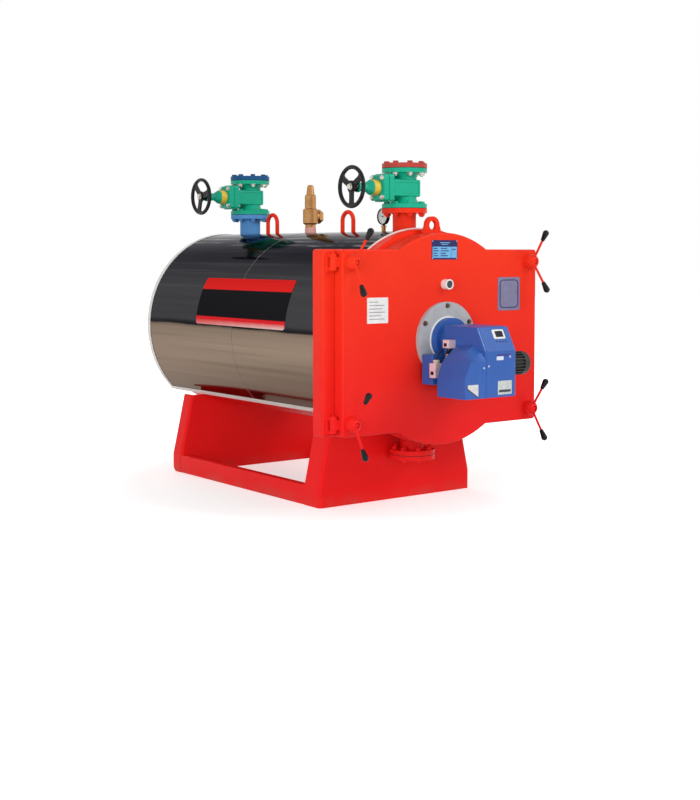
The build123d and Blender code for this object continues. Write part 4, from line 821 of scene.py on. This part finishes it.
# Pipe connections
def valve_fasteners(name, pipe_paint):
    """Nuts and bolts of a valve's flanges and bonnet, the bare tag on its bonnet and the wheel's nut."""
    body_low, body_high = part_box(f"{name}_valve_body")
    nozzle_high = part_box(f"{name}_nozzle")[1]
    joint_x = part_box(f"{name}_valve_bonnet")[1].x
    y = middle(f"{name}_nozzle").y
    z = (body_low.z + body_high.z) / 2
    under_flange = nozzle_high.z - FLANGE_T
    zinc, green, painted, tag, nut = Piece(), Piece(), Piece(), Piece(), Piece()
    for i, (dx, dy) in enumerate(flange_places()):
        zinc.bolt((dx, y + dy, body_high.z - VALVE_FLANGE_T), DOWN, BOLT_R, NUT_TURN * i, STUD)
        green.bolt((dx, y + dy, body_low.z + VALVE_FLANGE_T), UP, BOLT_R, BOLT_TURN * i)
        painted.bolt((dx, y + dy, under_flange), DOWN, BOLT_R, LOWER_NUT_TURN * i, STUD)
    box_x = joint_x - JOINT_T - BONNET_BOX_L
    for i, (sy, sz) in enumerate(CORNERS):
        on_box = (box_x, y + sy * BOX_BOLT_OUT[0], z + sz * BOX_BOLT_OUT[1])
        on_joint = (joint_x + JOINT_T, y + sy * JOINT_BOLT_OUT[0], z + sz * JOINT_BOLT_OUT[1])
        zinc.bolt(on_box, LEFT, JOINT_BOLT_R, BOX_BOLT_TURN * i)
        green.bolt(on_joint, RIGHT, JOINT_BOLT_R, JOINT_BOLT_TURN * i)
    tag.turned((box_x - TAG_GAP, y, z), LEFT, TAG_PROFILE, 48)
    hub_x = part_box(f"{name}_handwheel")[0].x + HUB_BACK_FROM_RIM
    nut.bolt((hub_x, y, z), LEFT, BOLT_R, WHEEL_NUT_TURN)
    pipe_weld(painted, y, under_flange - PIPE_WELD_LIFT)
    zinc.done(f"{name}_upper_nuts", "boiler", ZINC)
    green.done(f"{name}_lower_bolts", "boiler", GREEN, "green_paint")
    painted.done(f"{name}_lower_nuts", "boiler", pipe_paint)
    tag.done(f"{name}_bonnet_tag", "boiler", YELLOW)
    nut.done(f"{name}_wheel_nut", f"{name}_wheel", ZINC)


def drain_fasteners():
    """Bolts of the drain's cover and the weld over the stub's flange."""
    low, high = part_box("drain_cover")
    y = (low.y + high.y) / 2
    stub_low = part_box("drain_nozzle")[0]
    over_flange = stub_low.z + FLANGE_T
    piece = Piece()
    for i, (dx, dy) in enumerate(flange_places()):
        piece.bolt((dx, y + dy, low.z), DOWN, BOLT_R, NUT_TURN * i)
        piece.bolt((dx, y + dy, over_flange), UP, BOLT_R, BOLT_TURN * i, STUD)
    pipe_weld(piece, y, over_flange + PIPE_WELD_LIFT)
    piece.done("drain_bolts", "boiler", RED, "red_paint")


def dial_axes(degrees):
    """Directions across and along a line on the dial."""
    a = math.radians(degrees)
    return FRONT * math.sin(a) - UP * math.cos(a), FRONT * math.cos(a) + UP * math.sin(a)


def gauge_dial():
    """White dial with its marks and needle, let into the gauge's left side."""
    low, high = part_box("pressure_gauge")
    case_r = (high.y - low.y) / 2
    r = case_r - GAUGE_RIM
    at = Vector((low.x + GAUGE_RIM, (low.y + high.y) / 2, high.z - case_r))
    face, marks, needle = Piece(), Piece(), Piece()
    face.turned(at, LEFT, [(r - DIAL_GAP, 0), (r - DIAL_GAP, DIAL_T), (0, DIAL_T)], 48)
    on_face = at + LEFT * (DIAL_T - PRINT_SINK)
    for i in range(MARK_COUNT):
        half, inner = LONG_MARK if i % LONG_MARK_EVERY == 0 else MARK
        across, along = dial_axes(MARK_FIRST_ANGLE - MARK_STEP_ANGLE * i)
        marks.plate(on_face, across, along, bar(-half, half, inner * r, MARK_END * r), *MARK_SHEET)
    across, along = dial_axes(NEEDLE_ANGLE)
    tail, tip = NEEDLE_HALF_WIDTHS
    end = NEEDLE_SHARE * r
    pointer = [(-tail, -NEEDLE_TAIL), (tail, -NEEDLE_TAIL), (tip, end), (-tip, end)]
    needle.plate(at + LEFT * NEEDLE_LIFT, across, along, pointer, *NEEDLE_SHEET)
    needle.turned(on_face, LEFT, NEEDLE_HUB_PROFILE, 20)
    face.done("gauge_dial", "boiler", PALE)
    marks.done("gauge_marks", "boiler", LINES)
    needle.done("gauge_needle", "boiler", BLACK, "gauge_black")


# Door
def on_door(piece, outline, lift, thick, edge):
    """Adds a plate that faces the front, lifted off the door."""
    piece.plate((0, DOOR_Y - lift, 0), RIGHT, UP, outline, thick, edge)


def print_bars(name, lift, surface, rows):
    """Plain print bars on a plate, from their edges."""
    piece = Piece()
    for row in rows:
        on_door(piece, bar(*row), lift, PRINT_T, PRINT_EDGE)
    piece.done(name, "door", surface)


def bar_rows(plate, lengths, columns, top, pitch, half_h):
    """Edges of a plate's print bars, row by row from the top."""
    rows = []
    for i, length in enumerate(lengths):
        z = top - pitch * i
        for left, share in columns:
            rows.append(inside(plate, (left, left + share * length, z - half_h, z + half_h)))
    return rows


def data_plate():
    """Blue data plate: dark head and foot, pale fields with print bars, four rivets."""
    base, field, rivets = Piece(), Piece(), Piece()
    on_door(base, rounded(*DATA_PLATE, DATA_PLATE_CORNER), 0.0, DATA_PLATE_T, DATA_PLATE_EDGE)
    for edges in DATA_FIELDS:
        on_door(field, bar(*inside(DATA_PLATE, edges)), DATA_PLATE_T, DATA_FIELD_T, DATA_FIELD_EDGE)
    for x, z in bar(*inset_by(DATA_PLATE, DATA_RIVET_INSET)):
        rivets.rivet((x, DOOR_Y - DATA_PLATE_T, z), FRONT, DATA_RIVET_R)
    base.done("data_plate", "door", NAVY)
    field.done("data_plate_field", "door", SKY)
    rivets.done("data_plate_rivets", "door", ZINC)
    rows = bar_rows(DATA_PLATE, DATA_BARS, DATA_COLUMNS, DATA_BAR_TOP, DATA_BAR_PITCH, DATA_BAR_HALF_H)
    rows.append(inside(DATA_PLATE, DATA_SIDE_BAR))
    print_bars("data_plate_bars", DATA_PLATE_T + DATA_FIELD_T, NAVY, rows)
    head = [inside(DATA_PLATE, edges) for edges in DATA_HEAD_BARS]
    print_bars("data_plate_head", DATA_PLATE_T, SKY, head)


def sticker():
    """White sticker with faint print bars."""
    piece = Piece()
    on_door(piece, rounded(*STICKER, STICKER_CORNER), 0.0, STICKER_T, STICKER_EDGE)
    piece.done("door_sticker", "door", PALE)
    rows = bar_rows(STICKER, STICKER_BARS, STICKER_COLUMNS, STICKER_BAR_TOP, STICKER_BAR_PITCH,
                    STICKER_BAR_HALF_H)
    print_bars("door_sticker_bars", STICKER_T, LINES, rows)


def badge():
    """Bare metal badge with a frame of round bar and a raised field."""
    base, frame_bars, inner = Piece(), Piece(), Piece()
    on_door(base, rounded(*BADGE, BADGE_CORNER), 0.0, BADGE_T, BADGE_EDGE)
    base.done("badge_plate", "door", LILAC)
    outline = rounded(*inset_by(BADGE, BADGE_FRAME_INSET), BADGE_FRAME_CORNER, 8)
    path = [(x, DOOR_Y - BADGE_FRAME_LIFT, z) for x, z in outline]
    frame_bars.bead(path, BADGE_FRAME_R, closed=True, ripple=0.0)
    frame_bars.done("badge_frame", "door", NAVY)
    field = rounded(*inset_by(BADGE, BADGE_FIELD_INSET), BADGE_FIELD_CORNER)
    on_door(inner, field, BADGE_T, *BADGE_FIELD_SHEET)
    inner.done("badge_field", "door", LILAC)


def hinge_welds():
    """Weld beads round the hinge bases on the frame."""
    low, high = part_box("hinge_brackets")
    frame_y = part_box("front_frame")[0].y
    x0 = low.x - HINGE_WELD_OUT
    x1 = high.x + HINGE_WELD_OUT
    piece = Piece()
    for z in (low.z + HINGE_HALF_H, high.z - HINGE_HALF_H - HINGE_PIN_PROUD):
        outline = rounded(x0, x1, z - HINGE_HALF_H, z + HINGE_HALF_H, HINGE_WELD_CORNER, 3)
        points = []
        for (xa, za), (xb, zb) in zip(outline, outline[1:] + outline[:1]):
            steps = max(1, int(math.hypot(xb - xa, zb - za) / HINGE_WELD_STEP))
            for k in range(steps):
                t = k / steps
                points.append((xa + (xb - xa) * t, frame_y - HINGE_WELD_LIFT, za + (zb - za) * t))
        piece.bead(points, HINGE_BEAD_R, closed=True)
    piece.done("hinge_welds", "boiler", RED, "red_paint")


# Burner
def burner_details():
    """Bolts of the burner's plate, the pale ring round its neck and the sight tube's glass."""
    plate_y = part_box("burner_plate")[0].y
    neck_r = (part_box("burner_neck")[1].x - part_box("burner_neck")[0].x) / 2
    bolts, ring, glass = Piece(), Piece(), Piece()
    for i, (dx, dz) in enumerate(ring_places(BURNER_BOLTS, BURNER_BOLT_PCD_R, BURNER_BOLT_START)):
        bolts.bolt((dx, plate_y, AXIS_Z + dz), FRONT, BURNER_BOLT_R, PLATE_BOLT_TURN * i, BURNER_STUD)
    bolts.done("burner_plate_bolts", "door", BRONZE)
    ring_r = neck_r + NECK_RING_W
    lip = [(neck_r, 0), (ring_r, 0), (ring_r, NECK_RING_T - NECK_RING_EDGE),
           (ring_r - NECK_RING_EDGE, NECK_RING_T), (neck_r, NECK_RING_T)]
    ring.turned((0, plate_y, AXIS_Z), FRONT, lip, 72)
    ring.done("burner_neck_ring", "door", PALE)
    sight = middle("sight_tube")
    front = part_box("sight_tube")[0].y
    glass.turned((sight.x, front + SIGHT_GLASS_INSET, sight.z), FRONT, SIGHT_GLASS_PROFILE, 32)
    glass.done("sight_glass", "door", GLASS)


def control_panel():
    """Display in a pale frame on the sloped panel, small keys under it and a pale bead along its left edge,
    a painted highlight.
    """
    top = Vector((0, HOUSING_LOW.y + PANEL_D, HOUSING_HIGH.z))
    down = Vector((0, -PANEL_D, -PANEL_H)).normalized()
    out = RIGHT.cross(-down)
    frame_piece, screen, keys, edge = Piece(), Piece(), Piece(), Piece()
    frame_piece.plate(top, RIGHT, -down, rounded(*DISPLAY, DISPLAY_CORNER), DISPLAY_T, DISPLAY_EDGE)
    on_frame = top + out * DISPLAY_T
    screen.plate(on_frame, RIGHT, -down, rounded(*SCREEN, SCREEN_CORNER), *SCREEN_SHEET)
    for i in range(KEYS):
        x = KEY_FIRST_X + KEY_PITCH * i
        key = rounded(x, x + KEY_W, KEY_LOW, KEY_HIGH, KEY_CORNER)
        keys.plate(top, RIGHT, -down, key, *KEY_SHEET)
    frame_piece.done("display_frame", "door", PALE)
    screen.done("display_screen", "door", BLACK)
    keys.done("panel_keys", "door", NAVY)
    # Painted highlight: a pale bead along the panel's left edge
    corner = Vector((HOUSING_LOW.x, top.y, top.z)) - out * PANEL_EDGE_SINK
    edge.bead([corner + down * d for d in PANEL_EDGE_STOPS], PANEL_EDGE_R, ripple=0.0)
    edge.done("panel_edge_highlight", "door", PANEL_EDGE_HIGHLIGHT)


def arched(start, end, bulge):
    """Points from start to end that bow out by the bulge in the middle."""
    shares = [i / LEAD_STEPS for i in range(LEAD_STEPS + 1)]
    return [start.lerp(end, t) + bulge * math.sin(math.pi * t) for t in shares]


def fittings():
    """Coil's plug, dark sockets in the coil's and servo's left sides, a black damper cam as painted shade
    behind the servo, link rod and leads.
    """
    low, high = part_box("burner_fittings")
    servo_low = Vector((high.x, low.y, high.z)) - Vector((SERVO.x, 0, SERVO.z))
    coil_low = Vector((low.x, high.y - COIL.y, low.z))
    plug_top = coil_low + Vector((COIL.x / 2, COIL.y / 2, COIL.z + COIL_PLUG_H))
    cam = servo_low + Vector((SERVO.x, SERVO.y / 2, -CAM_R - CAM_GAP))
    dark, rods, plug, leads = Piece(), Piece(), Piece(), Piece()
    for corner, size in ((servo_low, SERVO), (coil_low, COIL)):
        near, far, foot = SOCKET_SHARES
        z = foot * size.z
        socket = rounded(near * size.y, far * size.y, z, z + SOCKET_H, SOCKET_CORNER)
        dark.plate(corner + BACK * size.y, FRONT, UP, socket, *SOCKET_SHEET)
    # The black cam fills the dark gap behind the servo: a painted shade
    hub_r = CAM_HUB_SHARE * CAM_R
    cam_side = [(CAM_R, 0), (CAM_R, CAM_RIM_T), (hub_r, CAM_STEP_L), (hub_r, CAM_L - CAM_EDGE_L),
                (hub_r - CAM_EDGE_R, CAM_L), (0, CAM_L)]
    dark.turned(cam, LEFT, cam_side, 32)
    pin = cam + LEFT * CAM_L
    rods.turned(pin, LEFT, PIN_PROFILE, HEXAGON)
    rods.bead([pin + point for point in LINK_POINTS], LEAD_R, ripple=0.0)
    plug.turned(plug_top, UP, PLUG_PROFILE, 28)
    under = servo_low + LEAD_INTO_SERVO
    leads.bead(arched(plug_top, under, COIL_LEAD_BULGE), LEAD_R, ripple=0.0)
    second = under + RIGHT * SERVO_LEAD_PITCH
    leads.bead(arched(second, cam + SERVO_LEAD_END, SERVO_LEAD_BULGE), LEAD_R, ripple=0.0)
    dark.done("sockets_and_painted_shade_cam", "door", BLACK)
    rods.done("damper_link", "door", ZINC)
    plug.done("coil_plug", "door", PLUG)
    leads.done("burner_leads", "door", BLACK)


# Cladding and shell
def trim_rivet(piece, side, angle, y):
    """Rivet on the trim's lip, at degrees above the axis on the left (-1) or right (1)."""
    a = math.radians(angle)
    out = Vector((side * math.cos(a), 0, math.sin(a)))
    piece.rivet(Vector((0, y, AXIS_Z)) + out * (CLAD_R + TRIM_T), out, RIVET_R)


def cladding_details():
    """Lap seam in the middle, the printed band on the left side and rivets in the trim."""
    seam, band, rivets = Piece(), Piece(), Piece()
    seam.round_sheet(CLAD_R, (SEAM_Y - SEAM_HALF_W, SEAM_Y + SEAM_HALF_W), SEAM_ANGLES, SEAM_STEPS, SEAM_T)
    band.round_sheet(CLAD_R, BAND_Y, BAND_ANGLES, BAND_STEPS, BAND_T, BAND_CORNER)
    for y in (CLAD_LOW.y + END_RIVET_INSET, CLAD_HIGH.y - END_RIVET_INSET):
        for angle in END_RIVET_ANGLES:
            trim_rivet(rivets, -1, angle, y)
    first_y = CLAD_LOW.y + EDGE_RIVET_INSET
    last_y = CLAD_HIGH.y - EDGE_RIVET_INSET
    for side in (-1, 1):
        for i in range(EDGE_RIVETS):
            trim_rivet(rivets, side, EDGE_RIVET_ANGLE, first_y + (last_y - first_y) * i / (EDGE_RIVETS - 1))
    seam.done("cladding_seam", "boiler", SEAM)
    band.done("cladding_band", "boiler", BAND)
    rivets.done("trim_rivets", "boiler", ZINC)


def saddle_welds():
    """Beads where the pedestal's plates meet the shell's belly."""
    piece = Piece()
    for node in ("pedestal_front", "pedestal_rear"):
        low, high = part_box(node)
        reach = math.sqrt(SHELL_R ** 2 - (AXIS_Z - high.z) ** 2)
        for y in (low.y, low.y + SADDLE_PLATE_T):
            points = []
            for i in range(SADDLE_WELD_STEPS + 1):
                x = -reach + 2 * reach * i / SADDLE_WELD_STEPS
                points.append((x, y, AXIS_Z - math.sqrt(SHELL_R ** 2 - x ** 2)))
            piece.bead(points, SADDLE_BEAD_R)
    piece.done("saddle_welds", "boiler", RED_BASE, "red_paint")


def rear_bolts():
    """Bolts of the smoke box's cover."""
    cover_y = SHELL_HIGH.y + COVER_T
    piece = Piece()
    places = ring_places(COVER_BOLTS, SHELL_R - COVER_BOLT_INSET, math.pi / COVER_BOLTS)
    for i, (dx, dz) in enumerate(places):
        piece.bolt((dx, cover_y, AXIS_Z + dz), BACK, BOLT_R, PLATE_BOLT_TURN * i)
    piece.done("smoke_cover_bolts", "boiler", ZINC)


# Studio
def studio():
    """Pale floor, white surround and soft lamps."""
    world = bpy.data.worlds.new("studio")
    bpy.context.scene.world = world
    world.use_nodes = True
    tree = world.node_tree
    back = tree.nodes["Background"]
    back.inputs["Color"].default_value = (1.0, 1.0, 1.0, 1.0)
    level = tree.nodes.new("ShaderNodeMapRange")
    tree.links.new(seen_directly(tree), level.inputs["Value"])
    level.inputs["To Min"].default_value = WORLD_LIGHT
    level.inputs["To Max"].default_value = WORLD_SEEN
    tree.links.new(level.outputs[0], back.inputs["Strength"])

    piece = bmesh.new()
    bmesh.ops.create_circle(piece, cap_ends=True, segments=64, radius=FLOOR_R)
    mesh = bpy.data.meshes.new("floor")
    piece.to_mesh(mesh)
    piece.free()
    floor = bpy.data.objects.new("floor", mesh)
    bpy.context.scene.collection.objects.link(floor)
    mesh.materials.append(floor_material())

    for settings in LAMPS:
        lamp(*settings)


def seen_directly(tree):
    """1 for camera, mirror and glass rays."""
    rays = tree.nodes.new("ShaderNodeLightPath")
    seen = rays.outputs["Is Camera Ray"]
    for kind in ("Is Glossy Ray", "Is Transmission Ray"):
        either = tree.nodes.new("ShaderNodeMath")
        either.operation = "MAXIMUM"
        tree.links.new(seen, either.inputs[0])
        tree.links.new(rays.outputs[kind], either.inputs[1])
        seen = either.outputs[0]
    return seen


def floor_material():
    """White floor that keeps the boiler's shadow and ends in the white surround."""
    surface = Surface("floor_white", 1.0)
    away = surface.node("ShaderNodeVectorMath", operation="DISTANCE")
    surface.link(surface.place, away.inputs[0])
    surface.link(FLOOR_MIDDLE, away.inputs[1])
    fade = surface.span(away.outputs["Value"], *FLOOR_FADE_R, *FLOOR_GLOW)
    matte = surface.node("ShaderNodeBsdfDiffuse")
    surface.link(FLOOR_TONE, matte.inputs["Color"])
    glow = surface.node("ShaderNodeEmission")
    surface.link(surface.math("MULTIPLY", seen_directly(surface.tree), fade), glow.inputs["Strength"])
    both = surface.node("ShaderNodeAddShader")
    surface.link(matte.outputs[0], both.inputs[0])
    surface.link(glow.outputs[0], both.inputs[1])
    surface.tree.nodes.remove(surface.shader)
    surface.link(both.outputs[0], surface.tree.nodes["Material Output"].inputs[0])
    return surface.material


def aimed(name, data, at, direction):
    """Puts a lamp or camera in the scene, looking along a direction."""
    made = bpy.data.objects.new(name, data)
    made.location = at
    made.rotation_mode = "QUATERNION"
    made.rotation_quaternion = direction.to_track_quat("-Z", "Y")
    bpy.context.scene.collection.objects.link(made)
    return made


def lamp(name, at, aim, size, power, mirrored):
    """Soft square lamp, which polished sheet may leave out."""
    light = bpy.data.lights.new(name, "AREA")
    light.size = size
    light.energy = power
    aimed(name, light, at, Vector(aim) - Vector(at)).visible_glossy = mirrored


def camera():
    """Camera at the photograph's angle."""
    data = bpy.data.cameras.new("camera")
    data.lens = FOCAL_PX * data.sensor_width / FRAME_H
    data.shift_x = (FRAME_W / 2 - CENTRE_PX[0]) / FRAME_H
    data.shift_y = (CENTRE_PX[1] - FRAME_H / 2) / FRAME_H
    flat = math.cos(CAMERA_PITCH)
    look = Vector((math.sin(CAMERA_YAW) * flat, math.cos(CAMERA_YAW) * flat, math.sin(CAMERA_PITCH)))
    bpy.context.scene.camera = aimed("camera", data, CAMERA_AT, look)


finish_nodes()
valve_fasteners("supply", RED)
valve_fasteners("return", BLUE_PIPE)
drain_fasteners()
gauge_dial()
data_plate()
sticker()
badge()
hinge_welds()
burner_details()
control_panel()
fittings()
cladding_details()
saddle_welds()
rear_bolts()
studio()
camera()
bpy.context.scene.view_settings.view_transform = "Standard"
